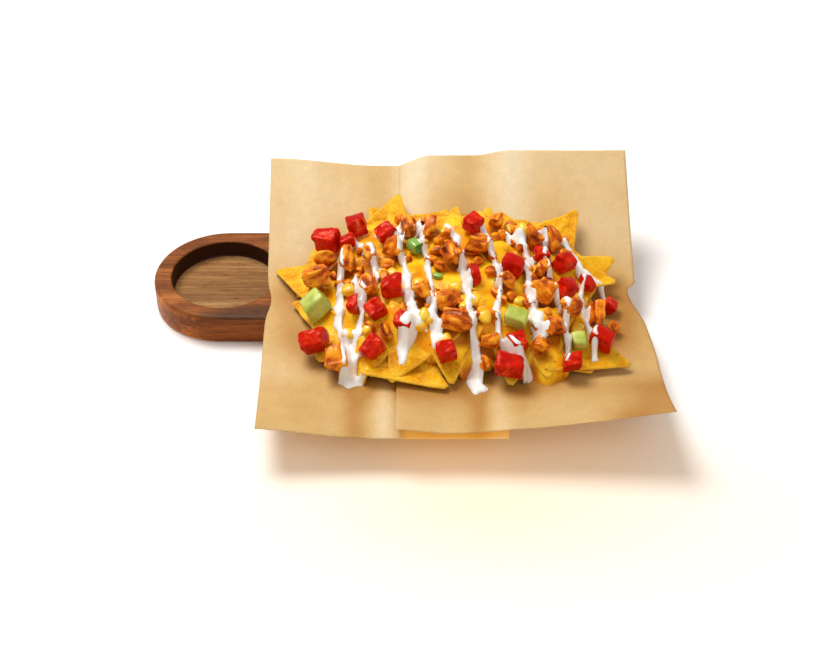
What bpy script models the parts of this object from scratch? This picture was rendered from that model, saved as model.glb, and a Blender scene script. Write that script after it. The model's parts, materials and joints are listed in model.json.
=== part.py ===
"""Loaded nachos on a wooden paddle board.

The board has a rounded ear with a round well for a sauce cup. Two sheets of
kraft paper line it, one lapped over the other, and stand up behind the food.
On them lies one heap of tortilla chips under melted cheese, and on the heap
lie diced tomato, avocado, a bit of green pepper and chunks of grilled chicken.

Metres, +Z up. The origin is the middle of the board's underside, +X runs
away from the ear, and +Y points to the side where the paper stands up.
"""
import math

import bmesh
import bpy
from mathutils import Euler, Matrix, Vector, noise
from mathutils.bvhtree import BVHTree

MM = 0.001
GAP = 0.3 * MM              # between solids that touch
REST = 0.4 * MM             # between a topping and what it lies on

# The board.
BOARD_LENGTH = 322 * MM
BOARD_WIDTH = 200 * MM
BOARD_THICKNESS = 22 * MM
BOARD_EDGE = 3 * MM         # rounding of every edge
BODY_LEFT = -75 * MM        # where the broad part ends and the ear begins
BODY_CORNER = 22 * MM
EAR_RADIUS = 49 * MM
EAR_FILLET = 7 * MM
EAR_X = -BOARD_LENGTH / 2 + EAR_RADIUS
WELL_RADIUS = 37 * MM
WELL_DEPTH = 13 * MM

# The paper sheets, as they lie: a flat front and a back panel that leans.
PAPER_THICKNESS = 0.5 * MM
PAPER_FRONT_Y = -165 * MM
PAPER_BACK_Y = 85 * MM
BEND_Y = -12 * MM
BEND_SOFTNESS = 12 * MM
PINCH_Y = -22 * MM          # where the bend pinches the over sheet's right edge
FLAP_Y = -95 * MM           # in front of this the paper is free to curl
LAP = PAPER_THICKNESS + GAP
UNDER_RIGHT = 78 * MM       # right edge of the under sheet
OVER_LEFT = 8.5 * MM        # left edge of the over sheet
PAPER_COLUMNS = 9
PAPER_ROWS = 26

# The heap, as a rounded oblong mound on the paper.
HEAP_CENTRE = Vector((43 * MM, -37 * MM))
HEAP_HALF_LENGTH = 103 * MM
HEAP_HALF_DEPTH = 75 * MM
HEAP_HEIGHT = 29 * MM
HEAP_SQUARENESS = 2.5
HEAP_EDGE = 2 * MM
HEAP_FULL_FRONT = 0.85      # how the mound's side falls, in front and behind
HEAP_FULL_BACK = 0.6
HEAP_RIPPLE = 0.045
HEAP_RIPPLE_SCALE = 3.2
HEAP_LUMPS = 2.2 * MM
HEAP_LUMP_SCALE = 55
HEAP_CLEARANCE = 0.8 * MM   # over the paper, whose folds are a little faceted
HEAP_SPOKES = 48
HEAP_RINGS = 18

# A tortilla chip: a wedge of a round tortilla.
CHIP_LENGTH = 54 * MM
CHIP_WIDTH = 56 * MM
CHIP_THICKNESS = 2.8 * MM
CHIP_CORNER = 4 * MM
CHIP_LIFT = 0.45 * MM       # over the heap's underside, so the two never coincide

# Chips whose corners stick out all round the heap's rim, anticlockwise from the
# front left: how far round it in degrees, how far past it and how high over the
# paper in mm, then how far the corner swings from straight out, its pitch and roll.
RIM_CHIPS = (
    (215, 10, 4, -20, -10, -15),
    (235, 13, 2, 15, -24, 5),
    (245, 15, 1, -5, -24, -8),
    (270, 14, 1, 52, -4, 0),
    (270, 13, 3, 0, -24, 0),
    (293, 15, 1, -30, -22, -5),
    (307, 16, 1, -30, -20, 5),
    (322, 22, 1, 5, -10, 5),
    (330, 35, 3, 12, -11, 15),
    (5, 12, 10, -15, -10, 10),
    (15, 15, 14, 15, 10, 30),
    (37, 18, 10, 15, 15, 10),
    (70, 5, 3, 15, 20, 0),
    (90, 2, 4, 5, 25, -10),
    (111, 16, 10, -35, 20, 5),
    (125, 11, 8, 0, 15, -5),
    (145, 11, 7, -20, 15, 10),
    (155, 3, 8, -40, 8, 8),
    (165, 23, 1, -15, -8, -8),
    (180, 6, 3, -35, -10, -15),
)

# Cuts of dice and of chunks: length, depth and height in mm.
DICE_CUTS = {
    "thin": (7, 11, 10),
    "small": (9, 10, 9),
    "middle": (12, 11, 11),
    "broad": (14, 12, 11),
    "large": (17, 13, 12),
}
CHUNK_CUTS = {
    "bit": (10, 8, 9),
    "small": (12, 10, 11),
    "strip": (20, 10, 12),
    "middle": (15, 13, 13),
    "large": (20, 15, 14),
}

# Where the toppings lie: x and y of the middle in mm, the cut, and its turn.
TOMATO_DICE = (
    (-20, 10, "broad", 10),
    (-40, 0, "large", -20),
    (-25, -5, "small", 10),
    (0, -5, "middle", 25),
    (5, -60, "broad", 5),
    (-20, -70, "thin", 0),
    (-5, -77, "middle", 30),
    (14, -88, "middle", -25),
    (-7, -101, "broad", 45),
    (-45, -90, "large", 5),
    (40, -108, "middle", 15),
    (60, 0, "middle", 45),
    (85, -40, "broad", -10),
    (105, -20, "small", 10),
    (120, -25, "middle", 40),
    (120, -50, "middle", 30),
    (135, -38, "small", 20),
    (60, -50, "thin", 5),
    (150, -45, "small", -15),
    (85, -100, "middle", 20),
    (80, -116, "large", -10),
    (120, -110, "middle", 5),
    (140, -93, "broad", -35),
)
AVOCADO_DICE = (
    (-45, -60, "large", 35),
    (85, -85, "broad", -20),
    (125, -95, "small", 10),
)
PEPPER_DICE = (
    (20, -20, "small", 40),
)
CHICKEN_CHUNKS = (
    (-40, -18, "middle", -10),
    (-45, -37, "large", 20),
    (-25, -25, "strip", 85),
    (-10, -25, "strip", 95),
    (5, -22, "middle", 60),
    (-10, -55, "strip", 100),
    (2, -92, "bit", 115),
    (15, 0, "strip", 100),
    (-30, -105, "large", 100),
    (30, 0, "strip", 85),
    (44, -31, "large", 95),
    (25, -65, "middle", 120),
    (40, -75, "middle", 30),
    (47, -92, "large", -15),
    (63, -22, "large", 0),
    (68, -99, "small", 10),
    (65, -110, "bit", 90),
    (100, -5, "strip", 130),
    (113, -3, "strip", 115),
    (105, -35, "small", 65),
    (105, -60, "large", 125),
    (120, -75, "middle", 20),
    (110, -90, "middle", 110),
    (139, -64, "strip", 90),
    (151, -66, "bit", 40),
    (100, -102, "small", 155),
    (80, -55, "small", 70),
    (75, 5, "small", 75),
)

# How a die is cut: its edges rounded, and its corners out of square by this share.
DICE_EDGE = 1.3 * MM
DICE_SKEW = 0.13
DICE_SKEW_SCALE = 1.7
DICE_SPREAD = 3.1           # so that each takes its own stretch of the noise
DICE_SEED = 4               # noise_vector is seeded by the clock unless it is told
# Chunks are balls squared off and dented.
CHUNK_FINENESS = 2
CHUNK_BLUNTNESS = 0.72
CHUNK_LUMPS = 0.2
CHUNK_LUMP_SCALE = 1.7
CHUNK_SPREAD = 2.3
# Toppings are let down from here, leaning as the heap does this far around them.
DROP_HEIGHT = 200 * MM
LEAN_REACH = 6 * MM
LEAN_FEELERS = 8
LEAN_UPRIGHT = 0.5          # how far a topping stands up rather than leans


def new_material(name, colour, roughness):
    material = bpy.data.materials.new(name)
    material.use_nodes = True
    shader = material.node_tree.nodes["Principled BSDF"]
    shader.inputs["Base Color"].default_value = (*colour, 1)
    shader.inputs["Roughness"].default_value = roughness
    return material


def add_object(name, mesh, collection, material=None):
    thing = bpy.data.objects.new(name, mesh)
    collection.objects.link(thing)
    if material:
        mesh.materials.append(material)
    return thing


def mesh_from(bm, name, in_triangles=False):
    """Finish a bmesh with its faces pointing out, and flat if it is bent later."""
    if in_triangles:
        bmesh.ops.triangulate(bm, faces=bm.faces)
    bmesh.ops.recalc_face_normals(bm, faces=bm.faces)
    mesh = bpy.data.meshes.new(name)
    bm.to_mesh(mesh)
    bm.free()
    return mesh


def set_boolean(thing, operation, cutter):
    modifier = thing.modifiers.new(operation.title(), "BOOLEAN")
    modifier.operation = operation
    if isinstance(cutter, bpy.types.Collection):
        modifier.operand_type = "COLLECTION"
        modifier.collection = cutter
    else:
        modifier.object = cutter


def smoothstep(low, high, value):
    t = min(1, max(0, (value - low) / (high - low)))
    return t * t * (3 - 2 * t)


# ---- Board ---------------------------------------------------------------

def arc(centre_x, centre_y, radius, start, end, steps):
    """Points along an arc, from one angle in degrees to another."""
    points = []
    for step in range(steps + 1):
        angle = math.radians(start + (end - start) * step / steps)
        x = centre_x + radius * math.cos(angle)
        y = centre_y + radius * math.sin(angle)
        points.append((x, y))
    return points


def board_outline():
    """The lower half from the ear's tip to the far end, then its mirror."""
    right = BOARD_LENGTH / 2
    side = BOARD_WIDTH / 2
    half = arc(EAR_X, 0, EAR_RADIUS, 180, 270, 14)
    half += arc(BODY_LEFT - EAR_FILLET, -EAR_RADIUS - EAR_FILLET, EAR_FILLET, 90, 0, 4)
    half += arc(BODY_LEFT + BODY_CORNER, -side + BODY_CORNER, BODY_CORNER, 180, 270, 6)
    half += arc(right - BODY_CORNER, -side + BODY_CORNER, BODY_CORNER, 270, 360, 6)
    mirrored = [(x, -y) for x, y in reversed(half[1:])]
    return half + mirrored


def make_board(collection, cutters, wood):
    points = board_outline()
    curve = bpy.data.curves.new("board_outline", "CURVE")
    curve.dimensions = "2D"
    curve.fill_mode = "BOTH"
    curve.extrude = BOARD_THICKNESS / 2
    spline = curve.splines.new("POLY")
    spline.points.add(len(points) - 1)
    for point, (x, y) in zip(spline.points, points):
        point.co = (x, y, 0, 1)
    spline.use_cyclic_u = True
    outline = bpy.data.objects.new("board_outline", curve)
    collection.objects.link(outline)

    depsgraph = bpy.context.evaluated_depsgraph_get()
    flat = bpy.data.meshes.new_from_object(outline.evaluated_get(depsgraph))
    bpy.data.objects.remove(outline)
    bm = bmesh.new()
    bm.from_mesh(flat)
    bmesh.ops.remove_doubles(bm, verts=bm.verts, dist=0.01 * MM)
    board = add_object("board", mesh_from(bm, "board"), collection, wood)
    board.location.z = BOARD_THICKNESS / 2

    bm = bmesh.new()
    bmesh.ops.create_cone(bm, cap_ends=True, segments=40, radius1=WELL_RADIUS,
                          radius2=WELL_RADIUS, depth=2 * WELL_DEPTH)
    well = add_object("well_cutter", mesh_from(bm, "well_cutter"), cutters)
    well.location = (EAR_X, 0, BOARD_THICKNESS)
    set_boolean(board, "DIFFERENCE", well)

    bevel = board.modifiers.new("Rounded edges", "BEVEL")
    bevel.width = BOARD_EDGE
    bevel.segments = 2
    bevel.limit_method = "ANGLE"
    bevel.angle_limit = math.radians(50)


# ---- Paper ---------------------------------------------------------------

def panel_height(y, height_at_back):
    """Height over the board of the leaning back panel."""
    past_bend = y - BEND_Y
    run = PAPER_BACK_Y - BEND_Y
    soft = (math.hypot(past_bend, BEND_SOFTNESS) + past_bend) / 2
    return height_at_back * soft / run


def flap_curl(y):
    """How much of the front edge's curl a place has, from 0 to 1."""
    t = max(0, (FLAP_Y - y) / (FLAP_Y - PAPER_FRONT_Y))
    return t ** 1.6


def under_sheet_height(x, y):
    dip = smoothstep(-84 * MM, 0, x)
    back = (38 - 6.5 * dip) * MM
    front = 9 * MM * smoothstep(-2 * MM, -90 * MM, x)
    return BOARD_THICKNESS + GAP + panel_height(y, back) + front * flap_curl(y)


def over_sheet_height(x, y):
    lap = LAP * (1 - smoothstep(UNDER_RIGHT + 2 * MM, UNDER_RIGHT + 16 * MM, x))
    rise = smoothstep(OVER_LEFT, OVER_LEFT + 22 * MM, x)
    back = (32.5 + 7.5 * rise + 5 * smoothstep(62 * MM, 92 * MM, x)) * MM
    toward_right = max(0, (x - 50 * MM) / (128 * MM))
    toward_left = smoothstep(40 * MM, OVER_LEFT, x)
    front = (4 + 19 * toward_right ** 1.3 + 3 * toward_left) * MM
    curl = front * flap_curl(y)
    return BOARD_THICKNESS + GAP + lap + panel_height(y, back) + curl


def left_edge(y):
    """The under sheet's left edge, drawn in a little just before the bend."""
    slant = (PAPER_BACK_Y - y) / (PAPER_BACK_Y - PAPER_FRONT_Y)
    drawn_in = math.exp(-((y - BEND_Y + 20 * MM) / (14 * MM)) ** 2)
    return (-84 + 7 * slant + 3.3 * drawn_in) * MM


def right_edge(y):
    """The over sheet's right edge, pinched at the bend and splayed at the flap."""
    if y > PINCH_Y:
        pinch = smoothstep(PINCH_Y + 9 * MM, PINCH_Y, y)
    else:
        pinch = 1 - smoothstep(PINCH_Y, PINCH_Y - 36 * MM, y)
    splay = smoothstep(PINCH_Y, PINCH_Y - 80 * MM, y)
    return (171 + 7 * splay - 6 * pinch) * MM


def make_sheet(name, left, right, height, collection, kraft):
    bm = bmesh.new()
    bmesh.ops.create_grid(bm, x_segments=PAPER_COLUMNS, y_segments=PAPER_ROWS, size=1)
    for vert in bm.verts:
        across = (vert.co.x + 1) / 2
        along = (vert.co.y + 1) / 2
        y = PAPER_FRONT_Y + along * (PAPER_BACK_Y - PAPER_FRONT_Y)
        x = left(y) + across * (right(y) - left(y))
        vert.co = (x, y, height(x, y))
    mesh = bpy.data.meshes.new(name)
    bm.to_mesh(mesh)
    bm.free()
    sheet = add_object(name, mesh, collection, kraft)
    solidify = sheet.modifiers.new("Thickness", "SOLIDIFY")
    solidify.thickness = PAPER_THICKNESS
    solidify.offset = 1
    return sheet


# ---- Heap of chips -------------------------------------------------------

def heap_floor(x, y):
    """Just above whichever sheet is uppermost."""
    under = under_sheet_height(x, y)
    over = over_sheet_height(max(x, OVER_LEFT), y)
    lapped = smoothstep(-12 * MM, 4 * MM, x)
    paper = under + max(0, over - under) * lapped
    return paper + PAPER_THICKNESS + HEAP_CLEARANCE


def heap_outline_radius(angle):
    along = abs(math.cos(angle)) / HEAP_HALF_LENGTH
    across = abs(math.sin(angle)) / HEAP_HALF_DEPTH
    power = HEAP_SQUARENESS
    radius = (along ** power + across ** power) ** (-1 / power)
    direction = Vector((math.cos(angle), math.sin(angle), 0.4))
    return radius * (1 + HEAP_RIPPLE * noise.noise(direction * HEAP_RIPPLE_SCALE))


def rim_place(degrees, past):
    """The place in plan a given way past the rim, so far round the heap."""
    angle = math.radians(degrees)
    radius = heap_outline_radius(angle) + past
    return HEAP_CENTRE.x + radius * math.cos(angle), HEAP_CENTRE.y + radius * math.sin(angle)


def heap_rise(x, y, reach):
    """Height of the mound; reach runs from 0 in the middle to 1 at the rim."""
    to_back = smoothstep(-60 * MM, 20 * MM, y)
    fullness = HEAP_FULL_FRONT + (HEAP_FULL_BACK - HEAP_FULL_FRONT) * to_back
    dome = HEAP_HEIGHT * max(0, 1 - reach ** HEAP_SQUARENESS) ** fullness
    lumps = HEAP_LUMPS * noise.noise(Vector((x, y, 0)) * HEAP_LUMP_SCALE)
    return HEAP_EDGE + dome + lumps * (1 - reach ** 4)


def heap_mound():
    """A sphere drawn out to the mound: its lower half follows the paper."""
    bm = bmesh.new()
    bmesh.ops.create_uvsphere(bm, u_segments=HEAP_SPOKES, v_segments=HEAP_RINGS, radius=1)
    for vert in bm.verts:
        reach = min(1, math.hypot(vert.co.x, vert.co.y))
        angle = math.atan2(vert.co.y, vert.co.x)
        radius = heap_outline_radius(angle) * reach
        x = HEAP_CENTRE.x + radius * math.cos(angle)
        y = HEAP_CENTRE.y + radius * math.sin(angle)
        z = heap_floor(x, y)
        if vert.co.z > -1e-4:
            z += heap_rise(x, y, reach)
        vert.co = (x, y, z)
    return mesh_from(bm, "chip_heap", in_triangles=True)


def chip_mesh():
    """One wedge, its corner at the origin and its body towards -X."""
    bm = bmesh.new()
    bmesh.ops.create_cone(bm, cap_ends=True, segments=3, radius1=1, radius2=1,
                          depth=CHIP_THICKNESS)
    tip = max(bm.verts, key=lambda vert: vert.co.y).co.copy()
    for vert in bm.verts:
        back = (tip.y - vert.co.y) / 1.5
        side = vert.co.x / math.sqrt(3)
        vert.co.x = -back * CHIP_LENGTH
        vert.co.y = side * CHIP_WIDTH
    upright = [edge for edge in bm.edges
               if abs(edge.verts[0].co.z - edge.verts[1].co.z) > CHIP_THICKNESS / 2]
    bmesh.ops.bevel(bm, geom=upright, offset=CHIP_CORNER, segments=3,
                    profile=0.5, affect="EDGES")
    return mesh_from(bm, "chip", in_triangles=True)


def place_chip(mesh, place):
    """Move a chip to its place, bent where it would otherwise cut the paper."""
    for vert in mesh.vertices:
        over_underside = vert.co.z + CHIP_THICKNESS / 2
        vert.co = place @ vert.co
        floor = heap_floor(vert.co.x, vert.co.y) + CHIP_LIFT
        vert.co.z = max(vert.co.z, floor + over_underside)


def make_heap(collection, cutters, cheese):
    heap = add_object("chip_heap", heap_mound(), collection, cheese)
    chips = bpy.data.collections.new("chips_joined_to_heap")
    cutters.children.link(chips)
    for number, (degrees, past, height, swing, pitch, roll) in enumerate(RIM_CHIPS, 1):
        x, y = rim_place(degrees, past * MM)
        corner = Vector((x, y, heap_floor(x, y) + height * MM))
        heading = degrees + swing
        turn = Euler((math.radians(roll), -math.radians(pitch), math.radians(heading)))
        mesh = chip_mesh()
        place_chip(mesh, Matrix.LocRotScale(corner, turn, None))
        add_object(f"chip_{number:02d}", mesh, chips)
    set_boolean(heap, "UNION", chips)
    return heap


# ---- Toppings ------------------------------------------------------------

def dice_mesh(length, depth, height, number):
    """A cut cube with soft edges, a little out of square."""
    bm = bmesh.new()
    bmesh.ops.create_cube(bm, size=1)
    for vert in bm.verts:
        corner = vert.co.copy()
        place = corner * DICE_SKEW_SCALE + Vector((number * DICE_SPREAD, 0, 0))
        vert.co = corner + DICE_SKEW * noise.noise_vector(place)
        vert.co.x *= length
        vert.co.y *= depth
        vert.co.z *= height
    bmesh.ops.bevel(bm, geom=bm.edges[:], offset=DICE_EDGE, segments=1, affect="EDGES")
    return mesh_from(bm, "dice", in_triangles=True)


def chunk_mesh(length, width, height, number):
    """A hand-cut chunk: a rounded block with hollows and ridges."""
    bm = bmesh.new()
    bmesh.ops.create_icosphere(bm, subdivisions=CHUNK_FINENESS, radius=1)
    for vert in bm.verts:
        place = vert.co * CHUNK_LUMP_SCALE + Vector((0, number * CHUNK_SPREAD, 0))
        swell = 1 + CHUNK_LUMPS * noise.noise(place)
        sides = [math.copysign(abs(side) ** CHUNK_BLUNTNESS, side) for side in vert.co]
        vert.co = Vector(sides) * Vector((length, width, height)) * (swell / 2)
    return mesh_from(bm, "chunk")


def slope_at(tree, x, y):
    """Which way the heap faces around a place, as an averaged normal."""
    total = Vector((0, 0, LEAN_UPRIGHT))
    for step in range(LEAN_FEELERS):
        angle = math.tau * step / LEAN_FEELERS
        aside = LEAN_REACH * Vector((math.cos(angle), math.sin(angle), 0))
        start = Vector((x, y, DROP_HEIGHT)) + aside
        normal = tree.ray_cast(start, Vector((0, 0, -1)))[1]
        if normal:
            total += normal
    return total.normalized()


def feelers(mesh):
    """A mesh's search tree, with its corners and edge and face middles."""
    corners = [vert.co.copy() for vert in mesh.vertices]
    tree = BVHTree.FromPolygons(corners, [tuple(face.vertices) for face in mesh.polygons])
    points = corners + [face.center.copy() for face in mesh.polygons]
    for edge in mesh.edges:
        start, end = [corners[index] for index in edge.vertices]
        points += [start.lerp(end, part) for part in (0.25, 0.5, 0.75)]
    return tree, points


def free_fall(own_tree, own_points, below):
    """How far a mesh can drop before it touches what is below it."""
    drop = 1.0
    for tree, points in below:
        for point in own_points:
            distance = tree.ray_cast(point, Vector((0, 0, -1)))[3]
            if distance is not None:
                drop = min(drop, distance)
        for point in points:
            distance = own_tree.ray_cast(point, Vector((0, 0, 1)))[3]
            if distance is not None:
                drop = min(drop, distance)
    return drop - REST


def lay_toppings(kind, table, cuts, shape, below, collection, material):
    """Lower each piece of a table onto the heap and the pieces before it."""
    heap_tree = below[0][0]
    for number, (x, y, cut, turn) in enumerate(table, 1):
        length, depth, height = [side * MM for side in cuts[cut]]
        mesh = shape(length, depth, height, number)
        upright = slope_at(heap_tree, x * MM, y * MM)
        lean = Vector((0, 0, 1)).rotation_difference(upright).to_matrix().to_4x4()
        spin = Matrix.Rotation(math.radians(turn), 4, "Z")
        start = Matrix.Translation(Vector((x * MM, y * MM, DROP_HEIGHT)))
        mesh.transform(start @ lean @ spin)
        drop = free_fall(*feelers(mesh), below)
        mesh.transform(Matrix.Translation((0, 0, -drop)))
        while any(feelers(mesh)[0].overlap(tree) for tree, points in below):
            mesh.transform(Matrix.Translation((0, 0, REST)))
        add_object(f"{kind}_{number:02d}", mesh, collection, material)
        below.append(feelers(mesh))


def main():
    for thing in list(bpy.data.objects):
        bpy.data.objects.remove(thing)
    scene_root = bpy.context.scene.collection
    nachos = bpy.data.collections.new("nachos")
    cutters = bpy.data.collections.new("cutters")
    scene_root.children.link(nachos)
    scene_root.children.link(cutters)

    wood = new_material("wood", (0.19, 0.07, 0.03), 0.5)
    kraft = new_material("kraft_paper", (0.74, 0.5, 0.26), 0.8)
    cheese = new_material("chips_and_cheese", (0.85, 0.5, 0.06), 0.4)
    tomato = new_material("tomato", (0.62, 0.03, 0.015), 0.25)
    avocado = new_material("avocado", (0.5, 0.6, 0.15), 0.45)
    pepper = new_material("green_pepper", (0.2, 0.4, 0.05), 0.3)
    chicken = new_material("grilled_chicken", (0.5, 0.17, 0.04), 0.5)

    make_board(nachos, cutters, wood)
    under = make_sheet("paper_under", left_edge, lambda y: UNDER_RIGHT,
                       under_sheet_height, nachos, kraft)
    over = make_sheet("paper_over", lambda y: OVER_LEFT, right_edge,
                      over_sheet_height, nachos, kraft)
    heap = make_heap(nachos, cutters, cheese)

    noise.seed_set(DICE_SEED)
    depsgraph = bpy.context.evaluated_depsgraph_get()
    below = [feelers(thing.evaluated_get(depsgraph).to_mesh()) for thing in (heap, under, over)]
    lay_toppings("tomato", TOMATO_DICE, DICE_CUTS, dice_mesh, below, nachos, tomato)
    lay_toppings("avocado", AVOCADO_DICE, DICE_CUTS, dice_mesh, below, nachos, avocado)
    lay_toppings("pepper", PEPPER_DICE, DICE_CUTS, dice_mesh, below, nachos, pepper)
    lay_toppings("chicken", CHICKEN_CHUNKS, CHUNK_CUTS, chunk_mesh, below, nachos,
                 chicken)

    for cutter in cutters.all_objects:
        cutter.display_type = "WIRE"
        cutter.hide_render = True


main()
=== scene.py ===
"""Loaded nachos on a wooden paddle board: the looks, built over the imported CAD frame.

Metres, +Z up. The origin is the middle of the board's underside, +X runs away
from the ear, and +Y points to the side where the paper liner stands up.
"""
import json
import math
import random

import bmesh
import bpy
import numpy as np
from mathutils import Euler, Matrix, Vector, noise
from mathutils.bvhtree import BVHTree

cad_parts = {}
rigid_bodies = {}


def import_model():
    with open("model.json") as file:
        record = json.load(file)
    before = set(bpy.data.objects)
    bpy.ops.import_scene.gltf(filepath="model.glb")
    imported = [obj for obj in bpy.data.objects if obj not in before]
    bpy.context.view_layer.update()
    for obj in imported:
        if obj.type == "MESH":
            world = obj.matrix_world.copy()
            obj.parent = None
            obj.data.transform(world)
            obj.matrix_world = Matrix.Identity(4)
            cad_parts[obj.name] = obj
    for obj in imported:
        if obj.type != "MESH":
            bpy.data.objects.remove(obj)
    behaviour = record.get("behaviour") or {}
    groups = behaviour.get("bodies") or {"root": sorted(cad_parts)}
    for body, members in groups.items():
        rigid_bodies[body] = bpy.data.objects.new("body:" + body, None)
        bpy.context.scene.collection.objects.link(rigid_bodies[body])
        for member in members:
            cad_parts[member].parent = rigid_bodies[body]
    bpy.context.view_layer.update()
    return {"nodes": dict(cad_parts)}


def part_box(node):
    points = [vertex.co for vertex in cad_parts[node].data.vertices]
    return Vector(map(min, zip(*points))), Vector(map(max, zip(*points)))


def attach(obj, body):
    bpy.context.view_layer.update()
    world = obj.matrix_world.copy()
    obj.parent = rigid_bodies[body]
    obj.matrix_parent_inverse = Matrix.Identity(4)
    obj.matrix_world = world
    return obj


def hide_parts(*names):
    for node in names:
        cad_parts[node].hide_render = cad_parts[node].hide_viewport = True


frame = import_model()


# ---- Board ----------------------------------------------------------------
# One plank of oiled walnut, cut to a paddle with a round ear. A well for a
# sauce cup is turned into the ear, and every edge is sanded round.

MM = 0.001
BOARD_LENGTH = 322 * MM
BOARD_WIDTH = 200 * MM
BOARD_THICKNESS = 22 * MM
BODY_LEFT = -75 * MM
BODY_CORNER = 22 * MM
EAR_RADIUS = 49 * MM
EAR_FILLET = 7 * MM
EAR_X = -BOARD_LENGTH / 2 + EAR_RADIUS
WELL_RADIUS = 37 * MM
WELL_DEPTH = 13 * MM
EDGE_ROUNDING = 3 * MM
WELL_RIM_ROUNDING = 1.6 * MM
WELL_FLOOR_ROUNDING = 2.5 * MM
ROUNDING_STEPS = 6


def smoothstep(low, high, value):
    t = min(1, max(0, (value - low) / (high - low)))
    return t * t * (3 - 2 * t)


def add_node(tree, kind, feeds=None, **settings):
    """Add a node, make its settings, and feed its inputs by name or number."""
    made = tree.nodes.new(kind)
    for setting, value in settings.items():
        setattr(made, setting, value)
    for socket, value in (feeds or {}).items():
        if isinstance(value, bpy.types.NodeSocket):
            tree.links.new(value, made.inputs[socket])
        else:
            made.inputs[socket].default_value = value
    return made


def new_finish(name, constants):
    """A material with its shader's plain values set, and its object coordinates."""
    material = bpy.data.materials.new(name)
    material.use_nodes = True
    tree = material.node_tree
    shader = tree.nodes["Principled BSDF"]
    for socket, value in constants.items():
        shader.inputs[socket].default_value = value
    place = add_node(tree, "ShaderNodeTexCoord").outputs["Object"]
    return material, tree, shader, place


def noise_value(tree, place, scale, detail=4, roughness=0.5, distortion=0, stretch=None):
    """Fractal noise over a place, drawn out along an axis if stretch says so."""
    if stretch:
        place = add_node(tree, "ShaderNodeMapping", {"Vector": place, "Scale": stretch}).outputs[0]
    feeds = {"Vector": place, "Scale": scale, "Detail": detail,
             "Roughness": roughness, "Distortion": distortion}
    return add_node(tree, "ShaderNodeTexNoise", feeds).outputs["Fac"]


def ramp(tree, factor, *stops):
    """A colour ramp from (position, (r, g, b)) stops, or grey from (position, value)."""
    made = add_node(tree, "ShaderNodeValToRGB", {"Fac": factor})
    elements = made.color_ramp.elements
    while len(elements) < len(stops):
        elements.new(0.5)
    for element, (position, colour) in zip(elements, stops):
        if not isinstance(colour, tuple):
            colour = (colour, colour, colour)
        element.position = position
        element.color = (*colour, 1)
    return made.outputs["Color"]


def blend_colours(tree, factor, first, second, blend_type="MIX"):
    made = add_node(tree, "ShaderNodeMix", {0: factor, 6: first, 7: second},
                    data_type="RGBA", blend_type=blend_type)
    return made.outputs[2]


def add_bump(tree, shader, height, distance, strength=1.0):
    """Relief too fine for the mesh; distance is its depth in metres."""
    feeds = {"Height": height, "Distance": distance, "Strength": strength}
    made = add_node(tree, "ShaderNodeBump", feeds)
    tree.links.new(made.outputs["Normal"], shader.inputs["Normal"])


def add_piece(name, mesh, finish, nodes=(), smooth=True):
    """Show a mesh whose place is in its points, riding on the one body."""
    piece = bpy.data.objects.new(name, mesh)
    bpy.context.scene.collection.objects.link(piece)
    mesh.materials.clear()
    mesh.materials.append(finish)
    mesh.shade_smooth() if smooth else mesh.shade_flat()
    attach(piece, "root")
    if nodes:
        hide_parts(*nodes)
    return piece


def arc(centre_x, centre_y, radius, start, end, steps, outward=1):
    """Points along an arc in degrees, each with the direction out of the board."""
    points = []
    for step in range(steps + 1):
        angle = math.radians(start + (end - start) * step / steps)
        across, along = math.cos(angle), math.sin(angle)
        place = Vector((centre_x + radius * across, centre_y + radius * along))
        points.append((place, Vector((across, along)) * outward))
    return points


def board_outline():
    right, side = BOARD_LENGTH / 2, BOARD_WIDTH / 2
    half = arc(EAR_X, 0, EAR_RADIUS, 180, 270, 40)
    half += arc(BODY_LEFT - EAR_FILLET, -EAR_RADIUS - EAR_FILLET, EAR_FILLET, 90, 0, 8, -1)
    half += arc(BODY_LEFT + BODY_CORNER, -side + BODY_CORNER, BODY_CORNER, 180, 270, 12)
    half += arc(right - BODY_CORNER, -side + BODY_CORNER, BODY_CORNER, 270, 360, 12)
    flip = Vector((1, -1))
    return half + [(place * flip, out * flip) for place, out in reversed(half[1:])]


def rounding(inset, height, radius, start, end):
    """Steps of (inset, height) round an edge, start and end in degrees."""
    steps = []
    for step in range(ROUNDING_STEPS + 1):
        angle = math.radians(start + (end - start) * step / ROUNDING_STEPS)
        steps.append((inset - radius * math.cos(angle), height + radius * math.sin(angle)))
    return steps


def add_bands(bm, outline, profile):
    """Bands of faces that carry an outline along a profile of (inset, height)."""
    loops = []
    for inset, height in profile:
        loops.append([bm.verts.new((*(place - out * inset), height)) for place, out in outline])
    for lower, upper in zip(loops, loops[1:]):
        for at in range(len(outline)):
            after = (at + 1) % len(outline)
            bm.faces.new((lower[at], lower[after], upper[after], upper[at]))
    return loops[0], loops[-1]


def edges_round(bm, loop):
    return [bm.edges.get((loop[at - 1], loop[at])) for at in range(len(loop))]


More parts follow.
